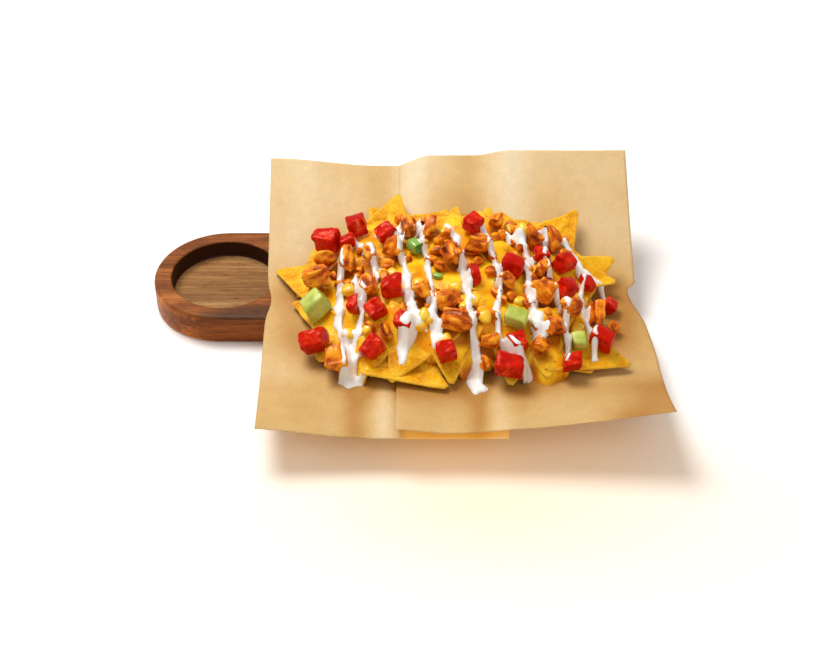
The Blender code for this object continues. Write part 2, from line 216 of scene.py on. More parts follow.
def board_mesh():
    bm = bmesh.new()
    flat_margin = 0.8 * MM
    edge = EDGE_ROUNDING
    profile = [(edge + flat_margin, 0)]
    profile += rounding(edge, edge, edge, -90, 0)
    profile += rounding(edge, BOARD_THICKNESS - edge, edge, 0, 90)
    profile += [(edge + flat_margin, BOARD_THICKNESS)]
    underside, top = add_bands(bm, board_outline(), profile)

    rim, floor = WELL_RIM_ROUNDING, WELL_FLOOR_ROUNDING
    well_floor = BOARD_THICKNESS - WELL_DEPTH
    circle = arc(EAR_X, 0, WELL_RADIUS, 0, 360, 96)[:-1]
    profile = [(-rim - flat_margin, BOARD_THICKNESS)]
    profile += [(-i, z) for i, z in rounding(rim, BOARD_THICKNESS - rim, rim, 90, 0)]
    profile += [(floor - floor * math.cos(a), well_floor + floor - floor * math.sin(a))
                for a in [math.radians(90 * s / ROUNDING_STEPS) for s in range(ROUNDING_STEPS + 1)]]
    profile += [(floor + flat_margin, well_floor)]
    mouth, well_bottom = add_bands(bm, circle, profile)
    bmesh.ops.triangle_fill(bm, use_beauty=True, edges=edges_round(bm, top) + edges_round(bm, mouth))
    bm.faces.new(underside)
    bm.faces.new(well_bottom)
    bmesh.ops.recalc_face_normals(bm, faces=bm.faces[:])
    # Masks: the well's floor, of paler wood; the well's wall, painted almost black as shade; and the sides,
    # given painted light.
    in_well = bm.verts.layers.float.new("well")
    on_wall = bm.verts.layers.float.new("wall")
    on_side = bm.verts.layers.float.new("side")
    for vert in bm.verts:
        vert[on_side] = 1.0 if vert.co.z < BOARD_THICKNESS - 1.5 * MM else 0.0
        if math.hypot(vert.co.x - EAR_X, vert.co.y) < WELL_RADIUS + 0.1 * MM and vert.co.z > 1 * MM:
            vert[in_well] = 1.0 if vert.co.z < well_floor + 0.6 * MM else 0.0
            vert[on_wall] = 1.0 - vert[in_well]
    mesh = bpy.data.meshes.new("board")
    bm.to_mesh(mesh)
    bm.free()
    return mesh


def wood_finish():
    walnut, tree, shader, place = new_finish("oiled_walnut", {"Roughness": 0.42, "Specular IOR Level": 0.12})
    figure = noise_value(tree, place, 9, detail=3, distortion=0.6, stretch=(1, 7, 7))
    streaks = noise_value(tree, place, 60, detail=5, roughness=0.65, stretch=(0.35, 9, 9))
    pores = noise_value(tree, place, 240, detail=2, stretch=(0.5, 7, 7))
    mixed = add_node(tree, "ShaderNodeMix", {0: 0.45, 2: figure, 3: streaks}).outputs[0]
    deep = ramp(tree, mixed, (0.3, (0.07, 0.017, 0.004)), (0.48, (0.21, 0.059, 0.012)),
                (0.66, (0.5, 0.165, 0.036)))
    pale = ramp(tree, mixed, (0.3, (0.13, 0.052, 0.014)), (0.5, (0.31, 0.14, 0.045)),
                (0.66, (0.5, 0.28, 0.105)))
    in_well = add_node(tree, "ShaderNodeAttribute", attribute_name="well").outputs["Fac"]
    on_wall = add_node(tree, "ShaderNodeAttribute", attribute_name="wall").outputs["Fac"]
    on_side = add_node(tree, "ShaderNodeAttribute", attribute_name="side").outputs["Fac"]
    # Painted light: the board's sides, in shade from the lamps, take a brighter and warmer copy of the
    # wood's colour.
    painted_side_light = blend_colours(tree, 1.0, deep, (1.25, 1.1, 0.65, 1), "MULTIPLY")
    # Painted shade: a soft dark patch on top of the rim, at the front where the ear meets the body.
    rim_front_place = add_node(tree, "ShaderNodeMapping", {
        "Vector": place, "Location": (EAR_X + 38 * MM, -EAR_RADIUS + 4 * MM, BOARD_THICKNESS),
        "Scale": (62 * MM, 12 * MM, 5 * MM)}, vector_type="TEXTURE").outputs[0]
    rim_front_gradient = add_node(tree, "ShaderNodeTexGradient", {0: rim_front_place}, gradient_type="SPHERICAL")
    painted_rim_shade = ramp(tree, rim_front_gradient.outputs["Fac"], (0.0, 0.0), (0.4, 0.85))
    deep = blend_colours(tree, painted_rim_shade, deep, (0.075, 0.03, 0.011, 1))
    deep = blend_colours(tree, on_side, deep, painted_side_light)
    colour = blend_colours(tree, in_well, deep, pale)
    # Painted shade: the well's inner wall is painted almost black.
    colour = blend_colours(tree, on_wall, colour, (0.035, 0.009, 0.003, 1))
    pore_mask = ramp(tree, pores, (0.33, 0.45), (0.42, 1.0))
    colour = blend_colours(tree, 1.0, colour, pore_mask, "MULTIPLY")
    tree.links.new(colour, shader.inputs["Base Color"])
    add_bump(tree, shader, pores, 0.25 * MM, 0.5)
    return walnut


add_piece("serving_board", board_mesh(), wood_finish(), ["board"])


# ---- Paper liners ---------------------------------------------------------
# Two sheets of kraft paper, the second lapped over the first. They lie on the
# board, bend up behind the food and curl at the free front edge.

GAP = 0.3 * MM
CAD_PAPER_THICKNESS = 0.5 * MM
PAPER_THICKNESS = 0.22 * MM
PAPER_FRONT_Y = -165 * MM
PAPER_BACK_Y = 85 * MM
BEND_Y = -12 * MM
BEND_SOFTNESS = 12 * MM
PINCH_Y = -22 * MM
FLAP_Y = -95 * MM
LAP = CAD_PAPER_THICKNESS + GAP
UNDER_RIGHT = 78 * MM
OVER_LEFT = 8.5 * MM
PAPER_COLUMNS = 90
PAPER_ROWS = 150
HEAP_CENTRE = Vector((43 * MM, -37 * MM))


def panel_height(y, height_at_back):
    past_bend = y - BEND_Y
    run = PAPER_BACK_Y - BEND_Y
    soft = (math.hypot(past_bend, BEND_SOFTNESS) + past_bend) / 2
    return height_at_back * soft / run


def flap_curl(y):
    t = max(0, (FLAP_Y - y) / (FLAP_Y - PAPER_FRONT_Y))
    return t ** 1.6


def under_sheet_height(x, y):
    dip = smoothstep(-84 * MM, 0, x)
    back = (38 - 6.5 * dip) * MM
    front = 9 * MM * smoothstep(-2 * MM, -90 * MM, x)
    return BOARD_THICKNESS + GAP + panel_height(y, back) + front * flap_curl(y)


def over_sheet_height(x, y):
    lap = LAP * (1 - smoothstep(UNDER_RIGHT + 2 * MM, UNDER_RIGHT + 16 * MM, x))
    rise = smoothstep(OVER_LEFT, OVER_LEFT + 22 * MM, x)
    back = (32.5 + 7.5 * rise + 5 * smoothstep(62 * MM, 92 * MM, x)) * MM
    toward_right = max(0, (x - 50 * MM) / (128 * MM))
    toward_left = smoothstep(40 * MM, OVER_LEFT, x)
    front = (4 + 19 * toward_right ** 1.3 + 3 * toward_left) * MM
    curl = front * flap_curl(y)
    return BOARD_THICKNESS + GAP + lap + panel_height(y, back) + curl


def left_edge(y):
    slant = (PAPER_BACK_Y - y) / (PAPER_BACK_Y - PAPER_FRONT_Y)
    drawn_in = math.exp(-((y - BEND_Y + 20 * MM) / (14 * MM)) ** 2)
    return (-84 + 7 * slant + 3.3 * drawn_in) * MM


def right_edge(y):
    if y > PINCH_Y:
        pinch = smoothstep(PINCH_Y + 9 * MM, PINCH_Y, y)
    else:
        pinch = 1 - smoothstep(PINCH_Y, PINCH_Y - 36 * MM, y)
    splay = smoothstep(PINCH_Y, PINCH_Y - 80 * MM, y)
    return (171 + 7 * splay - 6 * pinch) * MM


def crease(x, y, seed):
    """Soft waves and small creases, where the paper is free of the food."""
    from_heap = math.hypot((x - HEAP_CENTRE.x) / 112, (y - HEAP_CENTRE.y) / 84) / MM
    free = smoothstep(0.95, 1.3, from_heap)
    waves = noise.noise(Vector((x * 26, y * 17, seed)))
    small = noise.noise(Vector((x * 95, y * 60, seed + 5)))
    sharp = 1 - abs(noise.noise(Vector((x * 42, y * 30, seed + 9)))) * 2
    return free * (0.5 * waves + 0.12 * small + 0.22 * max(0, sharp - 0.55)) * MM


def band(x, middle, width):
    return math.exp(-((x / MM - middle) / width) ** 2)


def paper_shading(x, y):
    """Painted light and shade: highlights on the laps' soft folds, shade in the folds' hollows, warm shade
    round the food (partly grease), darker over the front flap and the right end, with a random mottle.
    """
    back = smoothstep(-30 * MM, 20 * MM, y)
    front = smoothstep(-100 * MM, -125 * MM, y)
    # Painted highlights where the soft folds of the back panel and the front flap face the light, and
    # painted shade in the hollows between them.
    folds_behind = 0.95 * band(x, 19, 11) + 0.95 * band(x, 88, 13) + 0.4 * band(x, -60, 12)
    folds_behind -= 0.4 * band(x, -5, 12) + 0.4 * band(x, 55, 14)
    folds_before = 0.8 * band(x, 1, 6) + 0.6 * band(x, 72, 8)
    folds_before -= 0.45 * band(x, -17, 8) + 0.45 * band(x, 61, 8)
    from_heap = math.hypot((x - HEAP_CENTRE.x) / 112, (y - HEAP_CENTRE.y) / 84) / MM
    # Painted shade round the food, warm as light thrown back from it, and partly grease.
    shade_beside_food = (0.85 - 0.6 * back) * math.exp(-((from_heap - 0.95) / 0.22) ** 2)
    mottle = 0.25 * noise.noise(Vector((x * 30, y * 30, 2)))
    # Darker towards the right end and over the front flap.
    toward_right = smoothstep(120 * MM, 165 * MM, x) * (1 - back)
    shades = front * (folds_before - 0.45) - 0.45 * toward_right - shade_beside_food
    return 0.55 + 0.45 * (back * folds_behind + shades + mottle)


def sheet_mesh(name, left, right, height, seed):
    bm = bmesh.new()
    shading = bm.verts.layers.float.new("shading")
    lit_through = bm.verts.layers.float.new("lit_through")
    bmesh.ops.create_grid(bm, x_segments=PAPER_COLUMNS, y_segments=PAPER_ROWS, size=1)
    for vert in bm.verts:
        across = (vert.co.x + 1) / 2
        along = (vert.co.y + 1) / 2
        y = PAPER_FRONT_Y + along * (PAPER_BACK_Y - PAPER_FRONT_Y)
        x = left(y) + across * (right(y) - left(y))
        z = height(x, y) + CAD_PAPER_THICKNESS / 2 + crease(x, y, seed)
        if name == "liner_over":
            pressed = smoothstep(OVER_LEFT + 5 * MM, OVER_LEFT, x)
            pressed *= smoothstep(FLAP_Y - 12 * MM, FLAP_Y + 12 * MM, y)
            z += pressed * (under_sheet_height(x, y) + 0.3 * LAP - height(x, y))
        else:
            # Painted glow: where the under sheet shows beneath the over sheet's front edge, it glows as if
            # lit through the paper.
            beneath = smoothstep(OVER_LEFT, OVER_LEFT + 8 * MM, x)
            vert[lit_through] = beneath * smoothstep(-140 * MM, -158 * MM, y)
        vert.co = (x, y, z)
        vert[shading] = paper_shading(x, y)
    mesh = bpy.data.meshes.new(name)
    bm.to_mesh(mesh)
    bm.free()
    return mesh


def kraft_finish():
    kraft, tree, shader, place = new_finish("kraft_paper", {"Roughness": 0.72})
    shading = add_node(tree, "ShaderNodeAttribute", attribute_name="shading").outputs["Fac"]
    mottle = noise_value(tree, place, 120, detail=5, roughness=0.6)
    fibres = noise_value(tree, place, 900, detail=3, stretch=(1, 0.35, 1))
    # The painted light and shade picks the paper's colour, from a dark, saturated brown in shade to a pale
    # kraft where lit.
    colour = ramp(tree, shading, (0.1, (0.43, 0.19, 0.025)), (0.32, (0.58, 0.345, 0.11)),
                  (0.52, (0.66, 0.445, 0.2)), (0.95, (0.74, 0.58, 0.345)))
    speckle = ramp(tree, mottle, (0.3, 0.93), (0.7, 1.03))
    colour = blend_colours(tree, 1.0, colour, speckle, "MULTIPLY")
    fibre_tint = ramp(tree, fibres, (0.3, 0.94), (0.65, 1.02))
    colour = blend_colours(tree, 1.0, colour, fibre_tint, "MULTIPLY")
    tree.links.new(colour, shader.inputs["Base Color"])
    # Painted glow, by emission, on the under sheet's front strip.
    lit_through = add_node(tree, "ShaderNodeAttribute", attribute_name="lit_through").outputs["Fac"]
    paper_glow = ramp(tree, lit_through, (0.0, 0.0), (1.0, (0.42, 0.19, 0.02)))
    tree.links.new(paper_glow, shader.inputs["Emission Color"])
    shader.inputs["Emission Strength"].default_value = 1.0
    add_bump(tree, shader, mottle, 0.3 * MM, 0.35)
    return kraft


kraft = kraft_finish()
for name, node, left, right, height, seed in (
        ("liner_under", "paper_under", left_edge, lambda y: UNDER_RIGHT, under_sheet_height, 3),
        ("liner_over", "paper_over", lambda y: OVER_LEFT, right_edge, over_sheet_height, 3)):
    sheet = add_piece(name, sheet_mesh(name, left, right, height, seed), kraft, [node])
    thickness = sheet.modifiers.new("Thickness", "SOLIDIFY")
    thickness.thickness = PAPER_THICKNESS
    thickness.offset = 0


# ---- Heart of the heap ----------------------------------------------------
# The chips deep in the heap, imported solid under the ones that show. It is only seen as dark gaps between
# the top chips, and its finish is a darker copy of theirs, as painted shade.

HEAP_HALF_LENGTH = 103 * MM
HEAP_HALF_DEPTH = 75 * MM
HEAP_HEIGHT = 29 * MM
HEAP_SQUARENESS = 2.5
HEAP_EDGE = 2 * MM
HEAP_LUMPS = 2.2 * MM
HEAP_CLEARANCE = 0.8 * MM
HEART_SHRINK = 0.86
HEART_DEPTH = 5 * MM
HEART_RINGS = 48
HEART_SPOKES = 96


def heap_floor(x, y):
    """Just above whichever sheet is uppermost."""
    under = under_sheet_height(x, y)
    over = over_sheet_height(max(x, OVER_LEFT), y)
    lapped = smoothstep(-12 * MM, 4 * MM, x)
    paper = under + max(0, over - under) * lapped
    return paper + CAD_PAPER_THICKNESS + HEAP_CLEARANCE


def heap_outline_radius(angle):
    along = abs(math.cos(angle)) / HEAP_HALF_LENGTH
    across = abs(math.sin(angle)) / HEAP_HALF_DEPTH
    power = HEAP_SQUARENESS
    radius = (along ** power + across ** power) ** (-1 / power)
    ripple = noise.noise(Vector((math.cos(angle), math.sin(angle), 0.4)) * 3.2)
    return radius * (1 + 0.045 * ripple)


def heap_reach(x, y):
    """0 in the middle of the heap and 1 at its rim."""
    from_centre = Vector((x, y)) - HEAP_CENTRE
    angle = math.atan2(from_centre.y, from_centre.x)
    return from_centre.length / heap_outline_radius(angle)


def rim_place(degrees, past):
    """The place in plan a given way past the rim, so far round the heap."""
    angle = math.radians(degrees)
    radius = heap_outline_radius(angle) + past
    return HEAP_CENTRE.x + radius * math.cos(angle), HEAP_CENTRE.y + radius * math.sin(angle)


def heap_rise(x, y, reach):
    fullness = 0.85 - 0.25 * smoothstep(-60 * MM, 20 * MM, y)
    dome = HEAP_HEIGHT * max(0, 1 - reach ** HEAP_SQUARENESS) ** fullness
    lumps = HEAP_LUMPS * noise.noise(Vector((x, y, 0)) * 55)
    return HEAP_EDGE + dome + lumps * (1 - reach ** 4)


def mesh_of(name, points, faces, **attributes):
    mesh = bpy.data.meshes.new(name)
    mesh.from_pydata([tuple(point) for point in points], [], faces)
    for attribute, values in attributes.items():
        mesh.attributes.new(attribute, "FLOAT", "POINT").data.foreach_set("value", values)
    return mesh


def heart_mesh():
    """A ball drawn out to the mound from its top down, its lower half on the paper."""
    points, cover = [], []
    for ring in range(HEART_RINGS + 1):
        upper = ring <= HEART_RINGS / 2
        reach = HEART_SHRINK * math.sin(math.pi * ring / HEART_RINGS)
        for spoke in range(1 if ring in (0, HEART_RINGS) else HEART_SPOKES):
            angle = math.tau * spoke / HEART_SPOKES
            radius = heap_outline_radius(angle) * reach
            x = HEAP_CENTRE.x + radius * math.cos(angle)
            y = HEAP_CENTRE.y + radius * math.sin(angle)
            z = heap_floor(x, y)
            if upper:
                sunk = HEART_DEPTH * smoothstep(1, 0.8, reach)
                z += max(0.4 * MM, heap_rise(x, y, reach) - sunk)
            points.append((x, y, z))
            cover.append(1.0 if upper else 0.0)

    def index(ring, spoke):
        if ring == 0:
            return 0
        if ring == HEART_RINGS:
            return len(points) - 1
        return 1 + (ring - 1) * HEART_SPOKES + spoke % HEART_SPOKES

    faces = []
    for ring in range(HEART_RINGS):
        for spoke in range(HEART_SPOKES):
            corners = [index(ring, spoke), index(ring + 1, spoke),
                       index(ring + 1, spoke + 1), index(ring, spoke + 1)]
            faces.append(list(dict.fromkeys(corners)))
    return mesh_of("heap_heart", points, faces, cover=cover)


def tortilla_finish(name, dark, middle, light, roughness):
    """Fried maize: toasted patches, paler blisters and a fine grain."""
    tortilla, tree, shader, place = new_finish(name, {"Roughness": roughness,
                                                      "Specular IOR Level": 0.18,
                                                      "Specular Tint": (1.0, 0.8, 0.45, 1),
                                                      "Subsurface Weight": 0.12,
                                                      "Subsurface Scale": 2 * MM,
                                                      "Subsurface Radius": (1.0, 0.5, 0.15)})
    patches = noise_value(tree, place, 80, detail=5, roughness=0.65)
    grain = noise_value(tree, place, 700, detail=3)
    specks = noise_value(tree, place, 330, detail=3, roughness=0.7)
    mixed = add_node(tree, "ShaderNodeMix", {0: 0.3, 2: patches, 3: grain}).outputs[0]
    colour = ramp(tree, mixed, (0.36, dark), (0.5, middle), (0.66, light))
    toasted = ramp(tree, specks, (0.64, 0.0), (0.72, 0.6))
    colour = blend_colours(tree, toasted, colour, (0.42, 0.13, 0.01, 1))
    rim = add_node(tree, "ShaderNodeAttribute", attribute_name="rim").outputs["Fac"]
    colour = blend_colours(tree, rim, colour, (0.88, 0.52, 0.05, 1))
    tree.links.new(colour, shader.inputs["Base Color"])
    relief = add_node(tree, "ShaderNodeMix", {0: 0.35, 2: patches, 3: grain}).outputs[0]
    add_bump(tree, shader, relief, 1.3 * MM, 1.0)
    return tortilla


# Painted shade: the heart's chips are a darker copy of the fried tortilla's colours.
shaded_chips = tortilla_finish("chips_in_painted_shade", (0.42, 0.13, 0.006), (0.62, 0.24, 0.009),
                         (0.76, 0.36, 0.02), 0.5)
heart = add_piece("heap_heart", heart_mesh(), shaded_chips, ["chip_heap"])


# ---- Tortilla chips -------------------------------------------------------
# Wedges of fried maize tortilla, curled and blistered by the fryer. Some stick
# their corners out of the heap, and the rest are strewn over its heart.

CHIP_LENGTH = 54 * MM
CHIP_WIDTH = 56 * MM
CHIP_THICKNESS = 1.9 * MM
CAD_CHIP_THICKNESS = 2.8 * MM
CHIP_ROUNDING = 2.2 * MM
CHIP_SPOKES = 42
CHIP_RINGS = (0.22, 0.42, 0.6, 0.75, 0.87, 0.95, 1.0)

# Chips whose corners stick out all round the heap's rim, anticlockwise from the
# front left: how far round it in degrees, how far past it and how high over the
# paper in mm, how far the corner swings from straight out, its pitch and roll in
# degrees, and its curl in mm.
RIM_CHIPS = (
    (215, 10, 4, -20, -10, -15, 3),
    (235, 13, 2, 15, -24, 5, -4),
    (245, 15, 1, -5, -24, -8, 3),
    (270, 14, 1, 52, -4, 0, 1),
    (270, 13, 3, 0, -24, 0, 4),
    (293, 15, 1, -30, -22, -5, 5),
    (307, 16, 1, -30, -20, 5, -4),
    (322, 22, 1, 5, -10, 5, 3),
    (330, 35, 3, 12, -11, 15, 3),
    (5, 12, 10, -15, -10, 10, 4),
    (15, 15, 14, 15, 10, 30, 5),
    (37, 18, 10, 15, 15, 10, 4),
    (70, 5, 3, 15, 20, 0, -4),
    (90, 2, 4, 5, 25, -10, 3),
    (111, 16, 10, -35, 20, 5, 4),
    (125, 11, 8, 0, 15, -5, 3),
    (145, 11, 7, -20, 15, 10, 3),
    (155, 3, 8, -40, 8, 8, 3),
    (165, 23, 1, -15, -8, -8, 4),
    (180, 6, 3, -35, -10, -15, 4),
)


def chip_outline():
    """A wedge with rounded corners, its tip near the origin, its body towards -X."""
    corners = [Vector((0, 0)), Vector((-CHIP_LENGTH, CHIP_WIDTH / 2)),
               Vector((-CHIP_LENGTH, -CHIP_WIDTH / 2))]
    dense = []
    for at, corner in enumerate(corners):
        before, after = corners[at - 1], corners[(at + 1) % 3]
        to_before = (before - corner).normalized()
        to_after = (after - corner).normalized()
        inward = (to_before + to_after).normalized()
        half_angle = to_before.angle(to_after) / 2
        centre = corner + inward * (CHIP_ROUNDING / math.sin(half_angle))
        sweep = math.pi - 2 * half_angle
        middle = math.atan2(-inward.y, -inward.x)
        for step in range(9):
            angle = middle + sweep * (0.5 - step / 8) * -1
            dense.append(centre + CHIP_ROUNDING * Vector((math.cos(angle), math.sin(angle))))
    lengths = [0]
    loop = dense + [dense[0]]
    for first, second in zip(loop, loop[1:]):
        lengths.append(lengths[-1] + (second - first).length)
    even = []
    at = 0
    for step in range(CHIP_SPOKES):
        wanted = lengths[-1] * step / CHIP_SPOKES
        while lengths[at + 1] < wanted:
            at += 1
        part = (wanted - lengths[at]) / (lengths[at + 1] - lengths[at])
        even.append(loop[at].lerp(loop[at + 1], part))
    return even


def chip_surface(side):
    """One side of a flat chip: points, and each one's share of the rim."""
    centre = Vector((-CHIP_LENGTH * 2 / 3, 0))
    half = CHIP_THICKNESS / 2
    points, rims = [(centre.x, centre.y, side * half)], [0.0]
    for ring in CHIP_RINGS:
        height = side * half * (0.35 if ring == 1 else 1)
        for place in chip_outline():
            spot = centre.lerp(place, ring)
            points.append((spot.x, spot.y, height))
            rims.append(0.75 if ring == 1 else 0.25 if ring > 0.94 else 0.0)
    return points, rims


def chip_faces():
    """Faces of a closed chip: its upper side, its lower side and the rim between."""
    per_side = 1 + CHIP_SPOKES * len(CHIP_RINGS)
    faces = []
    for side in (0, 1):
        base = side * per_side
        for at in range(CHIP_SPOKES):
            after = (at + 1) % CHIP_SPOKES
            fan = [base, base + 1 + at, base + 1 + after]
            faces.append(fan if side == 0 else fan[::-1])
            for ring in range(len(CHIP_RINGS) - 1):
                inner = base + 1 + ring * CHIP_SPOKES
                outer = inner + CHIP_SPOKES
                quad = [inner + at, outer + at, outer + after, inner + after]
                faces.append(quad if side == 0 else quad[::-1])
    upper_rim = 1 + (len(CHIP_RINGS) - 1) * CHIP_SPOKES
    for at in range(CHIP_SPOKES):
        after = (at + 1) % CHIP_SPOKES
        lower = per_side + upper_rim
        faces.append([upper_rim + at, lower + at, lower + after, upper_rim + after])
    return faces


upper_points, upper_rims = chip_surface(1)
lower_points, lower_rims = chip_surface(-1)
CHIP_POINTS = np.array(upper_points + lower_points)
CHIP_RIMS = upper_rims + lower_rims
CHIP_FACES = chip_faces()
CHIP_OVER_UNDERSIDE = CHIP_POINTS[:, 2] + CHIP_THICKNESS / 2


def fried_shape(curl, seed):
    """The flat chip curled about its length, waved, blistered and ragged."""
    points = CHIP_POINTS.copy()
    for index, (x, y, z) in enumerate(points):
        along = x / CHIP_LENGTH + 0.5
        across = y / CHIP_WIDTH
        bend = curl * ((2 * across) ** 2 - 0.25) - 0.5 * curl * (along ** 2 - 0.1)
        wave = 1.5 * MM * noise.noise(Vector((x * 38, y * 38, seed * 7.3)))
        blister = max(0, noise.noise(Vector((x * 120, y * 120, seed * 3.1))) - 0.18)
        ragged = noise.noise(Vector((x * 90, y * 90, seed * 1.7))) * CHIP_RIMS[index]
        points[index] = (x + 0.9 * MM * ragged, y + 0.9 * MM * ragged,
                         z + bend + wave + 3 * MM * blister)
    return points


def joined_chips(name, chips):
    points = np.concatenate(chips)
    faces = [[corner + number * len(CHIP_POINTS) for corner in face]
             for number in range(len(chips)) for face in CHIP_FACES]
    return mesh_of(name, points, faces, rim=CHIP_RIMS * len(chips))


def keep_off_paper(points):
    """Bend a chip up where it would otherwise cut the paper."""
    for index, (x, y, z) in enumerate(points):
        floor = heap_floor(x, y) + CHIP_OVER_UNDERSIDE[index]
        if z < floor:
            points[index][2] = floor
    return points


golden = tortilla_finish("fried_tortilla", (0.56, 0.18, 0.003), (0.8, 0.38, 0.006),
                         (0.9, 0.56, 0.035), 0.45)
corner_chips = []
for number, (degrees, past, height, swing, pitch, roll, curl) in enumerate(RIM_CHIPS, 1):
    x, y = rim_place(degrees, past * MM)
    corner = Vector((x, y, heap_floor(x, y) + height * MM))
    turn = Euler((math.radians(roll), -math.radians(pitch), math.radians(degrees + swing)))
    raised = (CAD_CHIP_THICKNESS - CHIP_THICKNESS) / 2
    place = np.array(Matrix.LocRotScale(corner, turn, None))
    shape = fried_shape(curl * MM, number) + (0, 0, raised)
    corner_chips.append(keep_off_paper(shape @ place[:3, :3].T + place[:3, 3]))
chip_corners = add_piece("chip_corners", joined_chips("chip_corners", corner_chips), golden)


def scatter_tree(name):
    """Pieces of a collection strewn over a surface where its "cover" is above 0."""
    tree = bpy.data.node_groups.new(name, "GeometryNodeTree")
    for label, kind in (("Surface", "NodeSocketGeometry"), ("Pieces", "NodeSocketCollection"),
                        ("Spacing", "NodeSocketFloat"), ("Density", "NodeSocketFloat"),
                        ("Tilt", "NodeSocketFloat"), ("Lift", "NodeSocketFloat"),
                        ("Smallest", "NodeSocketFloat"), ("Largest", "NodeSocketFloat"),
                        ("Seed", "NodeSocketInt"), ("Finish", "NodeSocketMaterial")):
        tree.interface.new_socket(label, in_out="INPUT", socket_type=kind)
    tree.interface.new_socket("Strewn", in_out="OUTPUT", socket_type="NodeSocketGeometry")
    given = add_node(tree, "NodeGroupInput").outputs
    cover = add_node(tree, "GeometryNodeInputNamedAttribute", {"Name": "cover"}, data_type="FLOAT")
    spots = add_node(tree, "GeometryNodeDistributePointsOnFaces", {
        "Mesh": given["Surface"], "Distance Min": given["Spacing"],
        "Density Max": given["Density"], "Density Factor": cover.outputs["Attribute"],
        "Seed": given["Seed"]}, distribute_method="POISSON")
    least = add_node(tree, "ShaderNodeCombineXYZ", {
        "X": add_node(tree, "ShaderNodeMath", {0: given["Tilt"], 1: -1.0},
                      operation="MULTIPLY").outputs[0]})
    tree.links.new(least.inputs["X"].links[0].from_socket, least.inputs["Y"])
    most = add_node(tree, "ShaderNodeCombineXYZ", {"X": given["Tilt"], "Y": given["Tilt"],
                                                   "Z": math.tau})
    turn = add_node(tree, "FunctionNodeRandomValue", {
        0: least.outputs[0], 1: most.outputs[0], "Seed": given["Seed"]}, data_type="FLOAT_VECTOR")
    local = add_node(tree, "FunctionNodeEulerToRotation", {0: turn.outputs["Value"]})
    turned = add_node(tree, "FunctionNodeRotateRotation", {
        0: spots.outputs["Rotation"], 1: local.outputs[0]}, rotation_space="LOCAL")
    size = add_node(tree, "FunctionNodeRandomValue", {
        2: given["Smallest"], 3: given["Largest"], "Seed": given["Seed"]}, data_type="FLOAT")
    pieces = add_node(tree, "GeometryNodeCollectionInfo", {
        "Collection": given["Pieces"], "Separate Children": True, "Reset Children": True})
    strewn = add_node(tree, "GeometryNodeInstanceOnPoints", {
        "Points": spots.outputs["Points"], "Instance": pieces.outputs[0],
        "Pick Instance": True, "Rotation": turned.outputs[0], "Scale": size.outputs[1]})
    lift = add_node(tree, "ShaderNodeCombineXYZ", {"Z": given["Lift"]})
    lifted = add_node(tree, "GeometryNodeTranslateInstances", {
        "Instances": strewn.outputs[0], "Translation": lift.outputs[0], "Local Space": True})
    real = add_node(tree, "GeometryNodeRealizeInstances", {0: lifted.outputs[0]})
    finished = add_node(tree, "GeometryNodeSetMaterial", {
        "Geometry": real.outputs[0], "Material": given["Finish"]})
    add_node(tree, "NodeGroupOutput", {"Strewn": finished.outputs[0]})
    return tree


STREW = scatter_tree("strew")


def strewn_mesh(name, surface, shapes, **inputs):
    """Run the scatter tree over a piece and take its result as a plain mesh."""
    patterns = bpy.data.collections.new(name + "_patterns")
    bpy.context.scene.collection.children.link(patterns)
    for number, shape in enumerate(shapes):
        patterns.objects.link(bpy.data.objects.new(f"{name}_pattern_{number}", shape))
    host = bpy.data.objects.new(name + "_host", surface.data.copy())
    bpy.context.scene.collection.objects.link(host)
    modifier = host.modifiers.new("Strew", "NODES")
    modifier.node_group = STREW
    inputs["Pieces"] = patterns
    for item in STREW.interface.items_tree:
        if item.name in inputs:
            modifier[item.identifier] = inputs[item.name]
    depsgraph = bpy.context.evaluated_depsgraph_get()
    mesh = bpy.data.meshes.new_from_object(host.evaluated_get(depsgraph))
    mesh.name = name
    for thing in [host] + list(patterns.objects):
        bpy.data.objects.remove(thing)
    bpy.data.collections.remove(patterns)
    return mesh


def points_of(mesh):
    flat = np.empty(len(mesh.vertices) * 3)
    mesh.vertices.foreach_get("co", flat)
    return flat.reshape(-1, 3)


def tree_over(*pieces):
    """One search tree over the final meshes of several pieces."""
    points, faces = [], []
    for piece in pieces:
        base = len(points)
        points += [tuple(point) for point in points_of(piece.data)]
        faces += [[base + corner for corner in face.vertices] for face in piece.data.polygons]
    return BVHTree.FromPolygons(points, faces)


def height_over(tree, x, y):
    """Height of the highest surface at a place, or None."""
    spot = tree.ray_cast(Vector((x, y, 0.3)), Vector((0, 0, -1)))[0]
    return spot.z if spot else None


CHIP_SPACING = 15 * MM
CHIP_TILT = math.radians(11)
CHIP_SHAPES = ((4, 41), (3, 42), (-3, 43), (5, 44), (2, 45))
SUNK_IN_HEAP = 0.2 * MM
MOST_REACH = 1.06           # how far out a strewn chip may lie, the rim being 1

shapes = []
for curl, seed in CHIP_SHAPES:
    centred = fried_shape(curl * MM, seed) + (CHIP_LENGTH * 2 / 3, 0, 0)
    shapes.append(mesh_of("chip", centred, CHIP_FACES, rim=CHIP_RIMS))
strewn = strewn_mesh("chips_on_heap", heart, shapes, Spacing=CHIP_SPACING, Density=9e4,
                     Tilt=CHIP_TILT, Lift=2.5 * MM, Smallest=0.8, Largest=1.0, Seed=4,
                     Finish=golden)
heap_top = tree_over(frame["nodes"]["chip_heap"])
settled = []
for chip in points_of(strewn).reshape(-1, len(CHIP_POINTS), 3):
    if max(heap_reach(x, y) for x, y, z in chip[::5]) > MOST_REACH:
        continue
    above = []
    for x, y, z in chip[::5]:
        if heap_reach(x, y) < 0.97:
            above.append(z - height_over(heap_top, x, y))
    chip[:, 2] -= max(above) + SUNK_IN_HEAP
    settled.append(keep_off_paper(chip))
